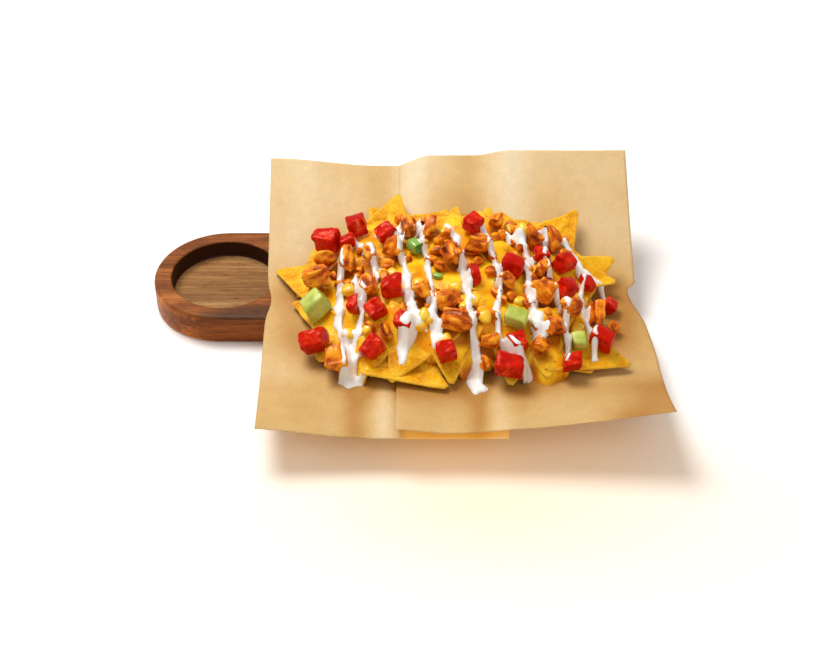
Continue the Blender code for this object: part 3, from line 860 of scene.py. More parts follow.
chips_on_heap = add_piece("chips_on_heap", joined_chips("chips_on_heap", settled), golden)


# ---- Melted cheese --------------------------------------------------------
# Cheese sauce ladled over the chips: it fills the hollows, drapes over the
# chips' edges and runs down in tongues at the front.

CHEESE_STEP = 1.15 * MM
CHEESE_DEPTH = 1.5 * MM
CHEESE_SOFTNESS = 1.1
CHICKEN_SHADE_SPREAD = 2.2          # in grid steps, as is the next
HOLLOW_SPREAD = 5
HOLLOW_DEPTH = 3.2 * MM
# Tongues of cheese: from x, y to x, y and half their width, in mm.
CHEESE_TONGUES = (
    (-10, -85, -12, -107, 7),
    (25, -88, 30, -98, 8),
    (50, -90, 50, -103, 8),
    (86, -90, 84, -102, 8),
    (103, -82, 106, -106, 11),
)


class HeightGrid:
    """A grid of places in plan, with heights over them."""

    def __init__(self, left, right, front, back, step):
        self.xs = np.arange(left, right, step)
        self.ys = np.arange(front, back, step)
        self.step = step

    def heights(self, tree, missing):
        rows = []
        for y in self.ys:
            row = [height_over(tree, x, y) for x in self.xs]
            rows.append([missing(x, y) if z is None else z for x, z in zip(self.xs, row)])
        return np.array(rows)

    def values(self, function):
        return np.array([[function(x, y) for x in self.xs] for y in self.ys])

    def at(self, points, values):
        """The grid's values at the places of some points."""
        columns = np.rint((points[:, 0] - self.xs[0]) / self.step).astype(int)
        rows = np.rint((points[:, 1] - self.ys[0]) / self.step).astype(int)
        return values[rows.clip(0, len(self.ys) - 1), columns.clip(0, len(self.xs) - 1)]

    def skin(self, name, heights, shown):
        """A mesh over the shown places."""
        numbers = -np.ones(heights.shape, int)
        numbers[shown] = np.arange(shown.sum())
        rows, columns = np.nonzero(shown)
        points = np.stack([self.xs[columns], self.ys[rows], heights[shown]], 1)
        corners = np.stack([numbers[:-1, :-1], numbers[:-1, 1:], numbers[1:, 1:], numbers[1:, :-1]], -1)
        faces = corners.reshape(-1, 4)
        faces = faces[(faces >= 0).all(1)]
        used = np.unique(faces)
        renumbered = -np.ones(len(points), int)
        renumbered[used] = np.arange(len(used))
        return mesh_of(name, points[used], renumbered[faces].tolist())


def blurred(heights, spread):
    """Gaussian blur, spread in grid steps."""
    reach = int(3 * spread) + 1
    weights = np.exp(-0.5 * (np.arange(-reach, reach + 1) / spread) ** 2)
    weights /= weights.sum()
    padded = np.pad(heights, reach, mode="edge")
    padded = sum(w * padded[:, at:at + heights.shape[1]] for at, w in enumerate(weights))
    return sum(w * padded[at:at + heights.shape[0]] for at, w in enumerate(weights))


def swollen(heights, reach):
    """Each place takes the greatest height within reach, in grid steps."""
    grown = heights.copy()
    padded = np.pad(heights, reach, mode="edge")
    for down in range(2 * reach + 1):
        for across in range(2 * reach + 1):
            if math.hypot(down - reach, across - reach) <= reach + 0.3:
                shifted = padded[down:down + heights.shape[0], across:across + heights.shape[1]]
                grown = np.maximum(grown, shifted)
    return grown


def from_line(x, y, start_x, start_y, end_x, end_y):
    """How far a place is from a line between two places, and how far along it."""
    line = Vector((end_x - start_x, end_y - start_y))
    to_place = Vector((x - start_x, y - start_y))
    along = min(1, max(0, to_place.dot(line) / line.length_squared))
    return (to_place - line * along).length, along


def cheese_cover(x, y):
    """Above 0.5 where there is cheese."""
    patchy = noise.noise(Vector((x * 42, y * 34, 8))) + 0.5 * noise.noise(Vector((x * 95, y * 80, 3)))
    body = 1 - smoothstep(0.72, 1.06, heap_reach(x, y) + 0.16 * patchy)
    cover = body * (0.88 + 0.62 * patchy)
    for start_x, start_y, end_x, end_y, width in CHEESE_TONGUES:
        away = from_line(x / MM, y / MM, start_x, start_y, end_x, end_y)[0]
        cover = max(cover, 1.0 - 0.5 * away / width + 0.25 * patchy)
    return min(1, cover)


def as_paper(x, y):
    return heap_floor(x, y) - HEAP_CLEARANCE


def solidified(piece, thickness):
    """Close a skin downwards and keep the result as the piece's mesh."""
    modifier = piece.modifiers.new("Body", "SOLIDIFY")
    modifier.thickness = thickness
    modifier.offset = -1
    depsgraph = bpy.context.evaluated_depsgraph_get()
    mesh = bpy.data.meshes.new_from_object(piece.evaluated_get(depsgraph))
    piece.modifiers.remove(modifier)
    piece.data = mesh
    return piece


def smoothed(mesh, rounds):
    bm = bmesh.new()
    bm.from_mesh(mesh)
    for _ in range(rounds):
        bmesh.ops.smooth_vert(bm, verts=bm.verts, factor=0.5, use_axis_x=True,
                              use_axis_y=True, use_axis_z=True)
    bm.to_mesh(mesh)
    bm.free()
    return mesh


grid = HeightGrid(-82 * MM, 166 * MM, -122 * MM, 46 * MM, CHEESE_STEP)
chip_tops = grid.heights(tree_over(heart, chips_on_heap, chip_corners), as_paper)
cover = grid.values(cheese_cover)
level = blurred(np.maximum(chip_tops, blurred(chip_tops, 1.5)), CHEESE_SOFTNESS)
depth = CHEESE_DEPTH * np.sign(cover - 0.5) * np.sqrt(np.abs(cover - 0.5) * 2)
share = np.clip((cover - 0.38) / 0.2, 0, 1)
cheese_top = chip_tops + (level - chip_tops) * share + depth - 0.6 * MM
skin = smoothed(grid.skin("melted_cheese", cheese_top, cover > 0.33), 2)

# The cheese is painted darker, as shade, in its hollows and beneath and around the chicken.
chicken_nodes = sorted(node for node in frame["nodes"] if node.startswith("chicken_"))
chunks = tree_over(*[frame["nodes"][node] for node in chicken_nodes])
under_chicken = grid.heights(chunks, lambda x, y: 0) > 0
chicken_shade = blurred(under_chicken.astype(float), CHICKEN_SHADE_SPREAD)
hollow = (blurred(cheese_top, HOLLOW_SPREAD) - cheese_top) / HOLLOW_DEPTH
painted_shade = np.clip(1.1 * chicken_shade + np.clip(hollow, 0, 0.75), 0, 1)
skin.attributes.new("painted_shade", "FLOAT", "POINT").data.foreach_set(
    "value", grid.at(points_of(skin), painted_shade))

cheese, tree, shader, place = new_finish("melted_cheese", {
    "Roughness": 0.27, "Specular IOR Level": 0.26, "Specular Tint": (1.0, 0.8, 0.45, 1),
    "Subsurface Weight": 0.1,
    "Subsurface Scale": 3 * MM, "Subsurface Radius": (1.0, 0.5, 0.1)})
flow = noise_value(tree, place, 75, detail=3, distortion=0.5)
colour = ramp(tree, flow, (0.34, (0.82, 0.27, 0.002)), (0.48, (0.92, 0.4, 0.004)),
              (0.64, (0.96, 0.58, 0.02)))
painted_shade = add_node(tree, "ShaderNodeAttribute", attribute_name="painted_shade").outputs["Fac"]
shade_amount = ramp(tree, painted_shade, (0.05, 0.0), (0.75, 0.85))
# Painted shade: dark brown in the cheese's hollows and round the chicken.
colour = blend_colours(tree, shade_amount, colour, (0.46, 0.1, 0.002, 1))
tree.links.new(colour, shader.inputs["Base Color"])
add_bump(tree, shader, noise_value(tree, place, 130, detail=3), 1.2 * MM, 0.6)
melted_cheese = add_piece("melted_cheese", skin, cheese)
solidified(melted_cheese, 1.4 * MM)


# ---- Toppings -------------------------------------------------------------
# Diced tomato with its wet flesh and glossy skin, avocado cubes, a bit of green pepper,
# and chunks of chicken seared on a griddle and coated in glaze.

def node_bmesh(node):
    """A copy of a CAD node's mesh with its loose triangles joined."""
    bm = bmesh.new()
    bm.from_mesh(frame["nodes"][node].data)
    bmesh.ops.remove_doubles(bm, verts=bm.verts, dist=0.01 * MM)
    return bm


def subdivided(bm, name, levels):
    """The mesh of a closed form after that many rounds of subdivision."""
    mesh = bpy.data.meshes.new(name)
    bm.to_mesh(mesh)
    bm.free()
    shape = bpy.data.objects.new(name, mesh)
    bpy.context.scene.collection.objects.link(shape)
    modifier = shape.modifiers.new("Rounded", "SUBSURF")
    modifier.levels = modifier.render_levels = levels
    depsgraph = bpy.context.evaluated_depsgraph_get()
    rounded = bpy.data.meshes.new_from_object(shape.evaluated_get(depsgraph))
    bpy.data.objects.remove(shape)
    rounded.name = name
    return rounded


def normals_of(mesh):
    """Every point's normal, taken before the points are moved."""
    return [vert.normal.copy() for vert in mesh.vertices]


def fitted(mesh, node):
    """Stretch a shape to the box of the node that it stands for."""
    low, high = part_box(node)
    points = points_of(mesh)
    least, most = points.min(0), points.max(0)
    points = np.array(low) + (points - least) / (most - least) * np.array(high - low)
    mesh.vertices.foreach_set("co", points.ravel())
    return mesh


def side_normals(bm):
    """Directions of a cut cube's six sides, largest side first."""
    sides = sorted(bm.faces, key=lambda face: -face.calc_area())[:6]
    return [face.normal.copy() for face in sides]


CUT_LEAN = 2.2 * MM         # how far a cube strays from square
CUT_LEANS_OVER = 15 * MM
noise.seed_set(4)           # noise_vector is seeded by the clock unless it is told


def cut_cube(node, number, roughness, wavelength, skin_toward):
    """A knife-cut cube: soft edges, uneven cut faces and one smooth skin side."""
    bm = node_bmesh(node)
    bmesh.ops.dissolve_limit(bm, angle_limit=math.radians(20), verts=bm.verts, edges=bm.edges)
    bm.normal_update()
    toward = Vector(skin_toward)
    skin_side = max(side_normals(bm), key=lambda normal: normal.dot(toward))
    mesh = subdivided(bm, node + "_cut", 3)
    skins = []
    for vert, normal in zip(mesh.vertices, normals_of(mesh)):
        facing = normal.dot(skin_side)
        skin = smoothstep(0.45, 0.75, facing)
        seed = number * 4.7
        dent = noise.noise(vert.co * (1 / wavelength) + Vector((seed, 0, 0)))
        dent += 0.5 * noise.noise(vert.co * (2.3 / wavelength) + Vector((0, seed, 0)))
        lean = noise.noise_vector(vert.co / CUT_LEANS_OVER + Vector((seed, seed, 0)))
        vert.co += normal * roughness * (dent * (1 - 0.8 * skin) - 0.2) + lean * CUT_LEAN
        skins.append(skin)
    mesh.attributes.new("skin", "FLOAT", "POINT").data.foreach_set("value", skins)
    return fitted(mesh, node)


def tomato_finish():
    tomato, tree, shader, place = new_finish("wet_tomato", {
        "Specular IOR Level": 0.2, "Specular Tint": (1.0, 0.55, 0.4, 1), "Subsurface Weight": 0.05,
        "Subsurface Scale": 3 * MM, "Subsurface Radius": (1.0, 0.2, 0.1)})
    skin = add_node(tree, "ShaderNodeAttribute", attribute_name="skin").outputs["Fac"]
    flesh = noise_value(tree, place, 150, detail=4, roughness=0.6, distortion=0.8)
    fine = noise_value(tree, place, 520, detail=2)
    flesh_colour = ramp(tree, flesh, (0.34, (0.4, 0.003, 0.001)), (0.52, (0.6, 0.011, 0.001)),
                        (0.64, (0.7, 0.04, 0.006)), (0.76, (0.8, 0.2, 0.06)))
    skin_colour = ramp(tree, flesh, (0.35, (0.42, 0.003, 0.001)), (0.7, (0.6, 0.012, 0.001)))
    colour = blend_colours(tree, skin, flesh_colour, skin_colour)
    tree.links.new(colour, shader.inputs["Base Color"])
    rough = ramp(tree, skin, (0.2, 0.22), (0.8, 0.12))
    tree.links.new(rough, shader.inputs["Roughness"])
    add_bump(tree, shader, fine, 0.35 * MM, 0.6)
    return tomato


TOP, LEFT, RIGHT, FRONT, BACK = (0, 0, 1), (-1, 0, 0), (1, 0, 0), (0, -1, 0), (0, 1, 0)
# Which way each tomato dice turns its skin, in the order of the nodes.
TOMATO_SKINS = (TOP, RIGHT, TOP, BACK, TOP, FRONT, FRONT, FRONT, LEFT, FRONT, RIGHT, LEFT,
                TOP, FRONT, RIGHT, TOP, TOP, TOP, FRONT, RIGHT, TOP, FRONT, TOP)
tomato = tomato_finish()
toppings = []
for number, skin_toward in enumerate(TOMATO_SKINS, 1):
    node = f"tomato_{number:02d}"
    mesh = cut_cube(node, number, 0.8 * MM, 5.5 * MM, skin_toward)
    toppings.append(add_piece(node + "_dice", mesh, tomato, [node]))


def green_finish(name, flesh_stops, skin_colour, roughness, coat):
    green, tree, shader, place = new_finish(name, {
        "Roughness": roughness, "Coat Weight": coat, "Subsurface Weight": 0.12,
        "Subsurface Scale": 2.5 * MM, "Subsurface Radius": (0.8, 1.0, 0.3)})
    skin = add_node(tree, "ShaderNodeAttribute", attribute_name="skin").outputs["Fac"]
    cloudy = noise_value(tree, place, 110, detail=4)
    flesh = ramp(tree, cloudy, *flesh_stops)
    colour = blend_colours(tree, skin, flesh, (*skin_colour, 1))
    tree.links.new(colour, shader.inputs["Base Color"])
    add_bump(tree, shader, noise_value(tree, place, 400, detail=2), 0.3 * MM, 0.4)
    return green


avocado = green_finish("cut_avocado", ((0.35, (0.35, 0.41, 0.035)), (0.6, (0.54, 0.58, 0.1))),
                       (0.28, 0.31, 0.02), 0.42, 0.1)
pepper = green_finish("green_pepper", ((0.35, (0.13, 0.3, 0.02)), (0.65, (0.26, 0.45, 0.05))),
                      (0.05, 0.2, 0.015), 0.25, 0.4)
for number, skin_toward in enumerate((RIGHT, LEFT, RIGHT), 1):
    node = f"avocado_{number:02d}"
    mesh = cut_cube(node, number + 40, 0.35 * MM, 7 * MM, skin_toward)
    toppings.append(add_piece(node + "_cube", mesh, avocado, [node]))
mesh = cut_cube("pepper_01", 50, 0.3 * MM, 6 * MM, FRONT)
toppings.append(add_piece("pepper_01_bit", mesh, pepper, ["pepper_01"]))


def chicken_shape(bm, name, number, levels):
    """Torn along its fibres: ridges and hollows, the hollows darker, partly glaze pooled there and partly
    painted shade.
    """
    mesh = subdivided(bm, name, levels)
    points = points_of(mesh)
    middle = points.mean(0)
    axes = np.linalg.svd(points - middle, full_matrices=False)[2]
    axes *= np.sign(axes[range(3), np.abs(axes).argmax(1)])[:, None]
    local = (points - middle) @ axes.T
    half = np.abs(local).max(0)
    knife = random.Random(number)
    for side in [(1, 0, 0), (-1, 0, 0), (0, 1, 0), (0, -1, 0), (0, 0, 1), (0, 0, -1)] * 2:
        cut = Vector(side) + Vector([knife.uniform(-0.55, 0.55) for _ in range(3)])
        cut = np.array(cut.normalized())
        beyond = local / half @ cut - knife.uniform(0.62, 0.8)
        local -= np.clip(beyond, 0, None)[:, None] * cut * half
    points = middle + local @ axes
    mesh.vertices.foreach_set("co", points.ravel())
    mesh.update()
    glaze_and_shade = []
    for vert, normal in zip(mesh.vertices, normals_of(mesh)):
        along, across, over = axes @ (np.array(vert.co) - middle) / MM
        lumps = noise.noise(Vector((along * 0.16, across * 0.3, over * 0.3 + number * 5)))
        fibres = noise.noise(Vector((along * 0.2, across * 0.75, over * 0.75 + number * 3)))
        fine = noise.noise(Vector((along * 0.7, across * 1.5, over * 1.5 + number)))
        height = 1.0 * lumps + 0.14 * fibres + 0.08 * fine
        vert.co += normal * height * MM
        # Painted shade: the colour darkens in the hollows, partly glaze pooled there.
        glaze_and_shade.append(min(1, max(0, 0.45 - 0.15 * fibres - 0.6 * lumps + 0.2 * fine)))
    mesh.attributes.new("glaze_and_shade", "FLOAT", "POINT").data.foreach_set("value", glaze_and_shade)
    return mesh


def chicken_finish():
    chicken, tree, shader, place = new_finish("glazed_chicken", {
        "Roughness": 0.24, "Specular IOR Level": 0.32, "Specular Tint": (1.0, 0.72, 0.45, 1),
        "Subsurface Weight": 0.12, "Subsurface Scale": 2 * MM,
        "Subsurface Radius": (1.0, 0.35, 0.12)})
    glaze_and_shade = add_node(tree, "ShaderNodeAttribute", attribute_name="glaze_and_shade").outputs["Fac"]
    sear = noise_value(tree, place, 85, detail=4, roughness=0.55)
    fine = noise_value(tree, place, 300, detail=3, roughness=0.5)
    mixed = add_node(tree, "ShaderNodeMix", {0: 0.5, 2: glaze_and_shade, 3: sear}).outputs[0]
    # Darker where the hollows' glaze and painted shade are.
    colour = ramp(tree, mixed, (0.34, (0.88, 0.33, 0.012)), (0.45, (0.72, 0.165, 0.004)),
                  (0.56, (0.46, 0.067, 0.002)), (0.7, (0.12, 0.012, 0.001)))
    tint = ramp(tree, fine, (0.3, 0.88), (0.65, 1.05))
    colour = blend_colours(tree, 1.0, colour, tint, "MULTIPLY")
    tree.links.new(colour, shader.inputs["Base Color"])
    add_bump(tree, shader, fine, 0.35 * MM, 0.5)
    return chicken


chicken = chicken_finish()
for number, node in enumerate(chicken_nodes, 1):
    mesh = fitted(chicken_shape(node_bmesh(node), node + "_chunk", number, 3), node)
    toppings.append(add_piece(node + "_chunk", mesh, chicken, [node]))


# ---- Small toppings -------------------------------------------------------
# Sweetcorn kernels, small shreds of the same chicken, and small cut greens,
# dropped between the larger pieces.

# The kernels of corn that show most: x and y in mm.
CORN = (
    (30, -85), (40, 0), (85, 5), (92, -5), (88, -65), (65, -85), (125, -82), (22, -52),
    (5, -42), (-23, -50), (-22, -85), (-10, -87), (57, 8),
)
CORN_STREWN = 8             # and how many more lie anywhere on the heap
CORN_LENGTHS = (9, 12)
# Small cut greens, in the same way.
GREENS = ((52, -78), (124, -62))
GREENS_STREWN = 2
GREEN_LENGTHS = (5, 8)


def with_strewn(table, more, lengths, seed):
    """The table's places and more over the heap, each with a length and a turn."""
    draw = random.Random(seed)
    places = list(table)
    while len(places) < len(table) + more:
        x, y = draw.uniform(-60, 150), draw.uniform(-110, 20)
        if is_bare(x, y, lengths[0] / 3):
            places.append((x, y))
    return [(x, y, draw.uniform(*lengths), draw.uniform(0, 180)) for x, y in places]


# Every chunk of chicken sheds a few shreds, so far from its middle.
SHREDS_EACH = 11
SHED_NEAR = 9
SHED_FAR = 17
SHRED_LENGTHS = (8, 13)


def is_bare(x, y, reach):
    """Whether a place is on the heap, and clear of the larger toppings."""
    around = ((0, 0), (reach, 0), (-reach, 0), (0, reach), (0, -reach))
    covered = [height_over(topping_tops, (x + a) * MM, (y + b) * MM) for a, b in around]
    return heap_reach(x * MM, y * MM) < 0.86 and not any(covered)


def shed_shreds():
    """A place, length and turn for each shred, in mm and degrees."""
    draw = random.Random(12)
    shreds = []
    for node in chicken_nodes:
        middle = points_of(frame["nodes"][node].data).mean(0) / MM
        for _ in range(SHREDS_EACH):
            angle = draw.uniform(0, math.tau)
            away = draw.uniform(SHED_NEAR, SHED_FAR)
            x, y = middle[0] + away * math.cos(angle), middle[1] + away * math.sin(angle)
            length, turn = draw.uniform(*SHRED_LENGTHS), draw.uniform(0, 180)
            apart = all(math.hypot(x - other[0], y - other[1]) > 6 for other in shreds)
            if apart and is_bare(x, y, 0.3 * length):
                shreds.append((x, y, length, turn))
    return shreds


topping_tops = tree_over(*toppings)


def kernel_mesh(length, number):
    """A corn kernel: a blunt wedge, pointed where it left the cob."""
    bm = bmesh.new()
    bmesh.ops.create_uvsphere(bm, u_segments=20, v_segments=12, radius=0.5)
    for vert in bm.verts:
        x, y, z = vert.co * 2
        taper = 0.72 + 0.28 * smoothstep(-1, 0.5, x)
        dimple = 0.12 * math.exp(-((x - 0.9) ** 2 + y * y) * 4)
        x = math.copysign(abs(x) ** 0.85, x) - dimple
        y = math.copysign(abs(y) ** 0.8, y) * taper
        z = math.copysign(abs(z) ** 0.8, z) * taper
        uneven = 1 + 0.1 * noise.noise(Vector((x, y, z + number * 4)))
        vert.co = Vector((x * 0.5, y * 0.42, z * 0.34)) * length * uneven
    mesh = bpy.data.meshes.new("kernel")
    bm.to_mesh(mesh)
    bm.free()
    return mesh


def shred_mesh(length, number):
    bm = bmesh.new()
    bmesh.ops.create_icosphere(bm, subdivisions=2, radius=0.5)
    for vert in bm.verts:
        vert.co = Vector((vert.co.x, vert.co.y * 0.75, vert.co.z * 0.8)) * length
    return chicken_shape(bm, "shred", number + 60, 1)


def green_mesh(length, number):
    bm = bmesh.new()
    bmesh.ops.create_cube(bm, size=1)
    for vert in bm.verts:
        shift = noise.noise_vector(vert.co * 1.7 + Vector((number * 3.1, 0, 0)))
        vert.co = (vert.co + shift * 0.2) * Vector((1, 0.75, 0.55)) * length
    bmesh.ops.bevel(bm, geom=bm.edges[:], offset=length * 0.1, segments=1, affect="EDGES")
    mesh = subdivided(bm, "green", 2)
    skins = [smoothstep(0.4, 0.7, vert.normal.x) for vert in mesh.vertices]
    mesh.attributes.new("skin", "FLOAT", "POINT").data.foreach_set("value", skins)
    return mesh


def dropped(name, table, shape, below):
    """Shapes from a table, each leaned to the ground under it and sunk in a little."""
    whole = bmesh.new()
    for number, (x, y, length, turn) in enumerate(table, 1):
        mesh = shape(length * MM, number)
        spot, normal = below.ray_cast(Vector((x, y, 300)) * MM, Vector((0, 0, -1)))[:2]
        lean = Vector((0, 0, 1)).rotation_difference((normal + Vector((0, 0, 1))).normalized())
        spin = Matrix.Rotation(math.radians(turn), 4, "Z")
        raised = Vector((0, 0, 0.24 * length * MM))
        mesh.transform(Matrix.Translation(spot + raised) @ lean.to_matrix().to_4x4() @ spin)
        whole.from_mesh(mesh)
    mesh = bpy.data.meshes.new(name)
    whole.to_mesh(mesh)
    whole.free()
    return mesh


below = tree_over(heart, chips_on_heap, melted_cheese, chip_corners,
                  bpy.data.objects["liner_under"], bpy.data.objects["liner_over"], *toppings)
corn, tree, shader, place = new_finish("sweetcorn", {
    "Roughness": 0.3, "Coat Weight": 0.1, "Coat Roughness": 0.1, "Subsurface Weight": 0.15,
    "Subsurface Scale": 3 * MM, "Subsurface Radius": (1.0, 0.7, 0.15)})
colour = ramp(tree, noise_value(tree, place, 140, detail=3), (0.35, (0.84, 0.4, 0.006)),
              (0.65, (0.92, 0.58, 0.02)))
tree.links.new(colour, shader.inputs["Base Color"])
add_bump(tree, shader, noise_value(tree, place, 500, detail=2), 0.2 * MM, 0.3)
kernels = add_piece("corn_kernels", dropped("corn_kernels", with_strewn(CORN, CORN_STREWN, CORN_LENGTHS, 4),
                                           kernel_mesh, below), corn)
shreds = add_piece("chicken_shreds", dropped("chicken_shreds", shed_shreds(), shred_mesh, below),
                   chicken)
greens = add_piece("cut_greens", dropped("cut_greens", with_strewn(GREENS, GREENS_STREWN, GREEN_LENGTHS, 8),
                                         green_mesh, below),
                   pepper)


# ---- Soured cream ---------------------------------------------------------
# Thinned soured cream, drizzled from a bottle in lines from back to front. It
# bridges small gaps, runs down the sides of the toppings and ends in blobs.

CREAM_STEP = 0.8 * MM
CREAM_DEPTH = 2.0 * MM
CREAM_STEEPEST = 3.2        # rise over run
CREAM_GATHERS = 0.9 * MM    # how much it fills up the foot of a step
CREAM_COATS = 0.5 * MM      # how thick it stays over small things that stick up
# Each line as x, y and half its width in mm, from back to front.
CREAM_LINES = (
    ((-30, -15, 3.5), (-30, -60, 4), (-28, -80, 4), (-22, -97, 6.5), (-20, -112, 9)),
    ((-18, -5, 5), (-8, -20, 4), (-5, -45, 3)),
    ((-20, -40, 3.5), (-15, -60, 3.5), (-15, -80, 4), (-20, -95, 4.5)),
    ((-5, 3, 4), (5, 5, 4), (10, -15, 4), (15, -50, 4), (17, -70, 4.5), (20, -85, 8),
     (13, -98, 6), (13, -108, 4.5)),
    ((22, 10, 3.5), (25, -15, 4), (30, -45, 3.5), (32, -70, 3.5), (35, -98, 6)),
    ((42, 10, 4), (48, -10, 4), (52, -35, 4), (55, -65, 4.5), (58, -95, 4.5), (60, -122, 7)),
    ((67, -3, 4), (72, -25, 3.5), (75, -55, 3.5), (73, -80, 3.5), (75, -95, 4), (82, -106, 4),
     (91, -110, 4), (90, -117, 3)),
    ((84, -4, 4), (95, -18, 5), (95, -45, 4), (97, -70, 4.5), (99, -88, 7), (101, -98, 4)),
    ((96, 5, 4), (108, 0, 3.5), (108, -30, 3), (113, -58, 3.5), (118, -85, 3.5), (116, -112, 3)),
    ((122, -2, 4), (131, -20, 3.5), (132, -55, 3.5), (134, -85, 4), (136, -102, 3)),
    ((134, -22, 3), (143, -28, 3), (153, -40, 2.5)),
)
CREAM_BENDS = 6             # straight bits between one point and the next


def flowing(line):
    """The same line bent smoothly through its points, narrowing and widening."""
    if len(line) < 3:
        return line
    bits = []
    ends = [line[0], *line, line[-1]]
    for before, start, end, after in zip(ends, ends[1:], ends[2:], ends[3:]):
        before, start, end, after = (np.array(point) for point in (before, start, end, after))
        for step in range(CREAM_BENDS):
            t = step / CREAM_BENDS
            bits.append(0.5 * (2 * start + (end - before) * t
                               + (2 * before - 5 * start + 4 * end - after) * t ** 2
                               + (3 * start - before - 3 * end + after) * t ** 3))
    return [tuple(float(value) for value in bit) for bit in bits] + [line[-1]]


CREAM_RUNS = [flowing(line) for line in CREAM_LINES]


def banked(heights, most_step):
    """Build up the foot of every step until nothing is steeper than most_step."""
    for _ in range(30):
        for axis in (0, 1):
            for shift in (1, -1):
                beside = np.roll(heights, shift, axis) - most_step
                heights = np.maximum(heights, beside)
    return heights


def cream_cover(x, y):
    """How far a place is inside the cream, in its half widths: above 0 is inside."""
    x, y = x / MM, y / MM
    wander = 2.6 * noise.noise(Vector((x * 0.1, y * 0.1, 5)))
    swell = 0.5 * noise.noise(Vector((x * 0.16, y * 0.16, 9)))
    best = -2.0
    for line in CREAM_RUNS:
        for (x1, y1, w1), (x2, y2, w2) in zip(line, line[1:]):
            if min(x1, x2) - 12 < x < max(x1, x2) + 12 and min(y1, y2) - 12 < y < max(y1, y2) + 12:
                away, along = from_line(x + wander, y, x1, y1, x2, y2)
                width = 0.68 * (w1 + (w2 - w1) * along) * (1 + swell)
                best = max(best, 1 - away / width)
    return best


grid = HeightGrid(-45 * MM, 160 * MM, -134 * MM, 18 * MM, CREAM_STEP)
cream_ground = grid.heights(
    tree_over(heart, chips_on_heap, chip_corners, melted_cheese,
              kernels, shreds, greens, *toppings), as_paper)
inside = grid.values(cream_cover)
held = swollen(cream_ground, 2) + CREAM_GATHERS
laid = blurred(np.minimum(banked(cream_ground, CREAM_STEEPEST * CREAM_STEP), held), 1.6)
share = np.clip(inside / 0.45, 0, 1)
share = share * share * (3 - 2 * share)
depth = CREAM_DEPTH * np.where(inside > 0, np.sqrt(1 - (1 - np.clip(inside, 0, 1)) ** 2), inside)
cream_top = cream_ground + (laid - cream_ground) * share + depth - 0.3 * MM
cream_top = np.where(inside > 0.25, np.maximum(cream_top, cream_ground + CREAM_COATS), cream_top)
skin = grid.skin("soured_cream", cream_top, inside > -0.35)

cream, tree, shader, place = new_finish("soured_cream", {
    "Roughness": 0.3, "Coat Weight": 0.25, "Coat Roughness": 0.15, "Subsurface Weight": 0.3,
    "Subsurface Scale": 3 * MM, "Subsurface Radius": (1.0, 0.8, 0.6)})
colour = ramp(tree, noise_value(tree, place, 60, detail=3), (0.3, (0.83, 0.78, 0.7)),
              (0.6, (0.9, 0.88, 0.84)))
tree.links.new(colour, shader.inputs["Base Color"])
add_bump(tree, shader, noise_value(tree, place, 220, detail=3), 0.3 * MM, 0.3)
soured_cream = add_piece("soured_cream", smoothed(skin, 3), cream)
solidified(soured_cream, 2.4 * MM)


# ---- Spice flecks ---------------------------------------------------------
# Flecks of red spice, shaped like crumbs, fallen on the melted cheese.

def crumb_mesh(number):
    bm = bmesh.new()
    bmesh.ops.create_icosphere(bm, subdivisions=1, radius=0.5)
    for vert in bm.verts:
        vert.co *= 1 + 0.5 * noise.noise(vert.co * 3 + Vector((number * 5, 0, 0)))
        vert.co.z *= 0.5
    mesh = bpy.data.meshes.new("crumb")
    bm.to_mesh(mesh)
    bm.free()
    return mesh


spice, tree, shader, place = new_finish("red_spice", {"Roughness": 0.5})
colour = ramp(tree, noise_value(tree, place, 300, detail=2), (0.35, (0.2, 0.02, 0.005)),
              (0.6, (0.5, 0.1, 0.01)))
tree.links.new(colour, shader.inputs["Base Color"])
cover_all = [1.0] * len(melted_cheese.data.vertices)
melted_cheese.data.attributes.new("cover", "FLOAT", "POINT").data.foreach_set("value", cover_all)
crumbs = strewn_mesh("spice_flecks", melted_cheese, [crumb_mesh(n) for n in range(4)],
                     Spacing=4 * MM, Density=9000.0, Tilt=0.5, Lift=0.1 * MM,
                     Smallest=0.6 * MM, Largest=1.5 * MM, Seed=7, Finish=spice)
add_piece("spice_flecks", crumbs, spice)


# ---- Studio ---------------------------------------------------------------
# A pale floor with a warm shadow and glow painted on it in front of the board,
# a high soft light from the back left, a broad fill in front, and a camera at
# the side where a guest would sit.

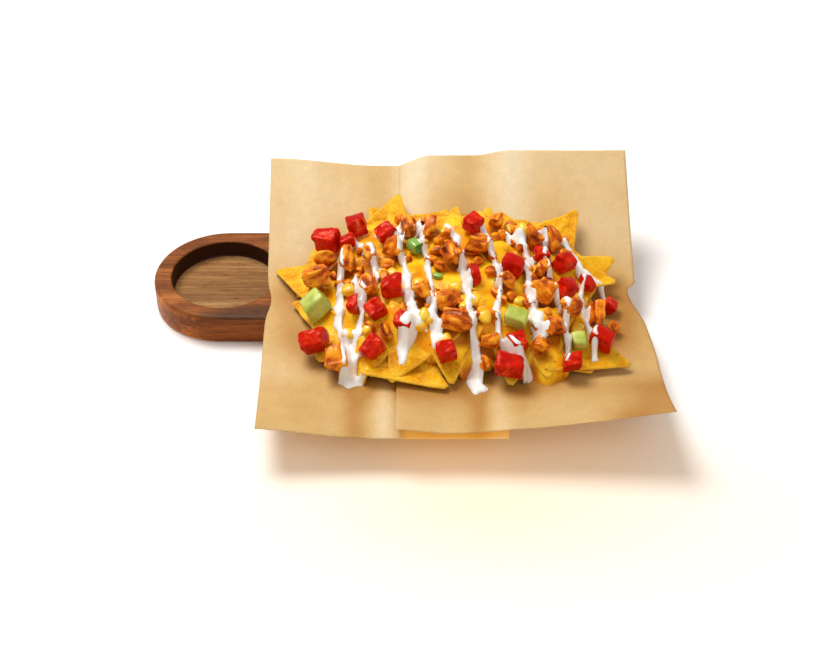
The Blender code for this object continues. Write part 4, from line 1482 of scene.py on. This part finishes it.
scene = bpy.context.scene
bm = bmesh.new()
bmesh.ops.create_circle(bm, cap_ends=True, segments=96, radius=6)
mesh = bpy.data.meshes.new("studio_floor")
bm.to_mesh(mesh)
bm.free()
floor = bpy.data.objects.new("studio_floor", mesh)
scene.collection.objects.link(floor)
pale, tree, shader, place = new_finish("studio_floor", {"Roughness": 0.8})
# Painted shadow and glow: in front of the board the floor's colour turns warm brown as a soft shadow, and it
# glows warm there, as light thrown back from the paper.
near_front = add_node(tree, "ShaderNodeMapping", {"Vector": place, "Location": (0.06, -0.2, 0),
                                                   "Scale": (0.26, 0.118, 1)}, vector_type="TEXTURE")
glow = add_node(tree, "ShaderNodeTexGradient", {0: near_front.outputs[0]},
                gradient_type="SPHERICAL").outputs["Fac"]
colour = ramp(tree, glow, (0.0, (0.975, 0.96, 0.945)), (1.0, (0.79, 0.71, 0.6)))
tree.links.new(colour, shader.inputs["Base Color"])
floor_glow = ramp(tree, glow, (0.0, (0.05, 0.03, 0.01)), (1.0, (0.3, 0.14, 0.01)))
tree.links.new(floor_glow, shader.inputs["Emission Color"])
shader.inputs["Emission Strength"].default_value = 1.0
mesh.materials.append(pale)

world = bpy.data.worlds.new("studio")
scene.world = world
world.use_nodes = True
sky = world.node_tree.nodes["Background"]
sky.inputs["Color"].default_value = (1.0, 0.985, 0.965, 1)
sky.inputs["Strength"].default_value = 0.48


def add_light(name, place, power, size, aim):
    data = bpy.data.lights.new(name, "AREA")
    data.energy = power
    data.shape = "DISK"
    data.size = size
    light = bpy.data.objects.new(name, data)
    light.location = place
    light.rotation_euler = (Vector(aim) - Vector(place)).to_track_quat("-Z", "Y").to_euler()
    scene.collection.objects.link(light)


middle = (0.03, -0.05, 0.03)
add_light("key", (-0.4, 0.35, 1.2), 16, 0.75, middle)
add_light("fill", (0.5, -0.9, 0.9), 2.5, 1.0, middle)

scene.view_settings.view_transform = "Standard"
lens_data = bpy.data.cameras.new("camera")
lens_data.lens = 64.2857
lens_data.sensor_width = 36
camera = bpy.data.objects.new("camera", lens_data)
elevation = math.radians(40)
target = Vector((0.0235, -0.056, 0.022))
camera.location = target + Vector((0, -math.cos(elevation), math.sin(elevation)))
camera.rotation_euler = (math.pi / 2 - elevation, 0, 0)
scene.collection.objects.link(camera)
scene.camera = camera

bpy.context.view_layer.update()
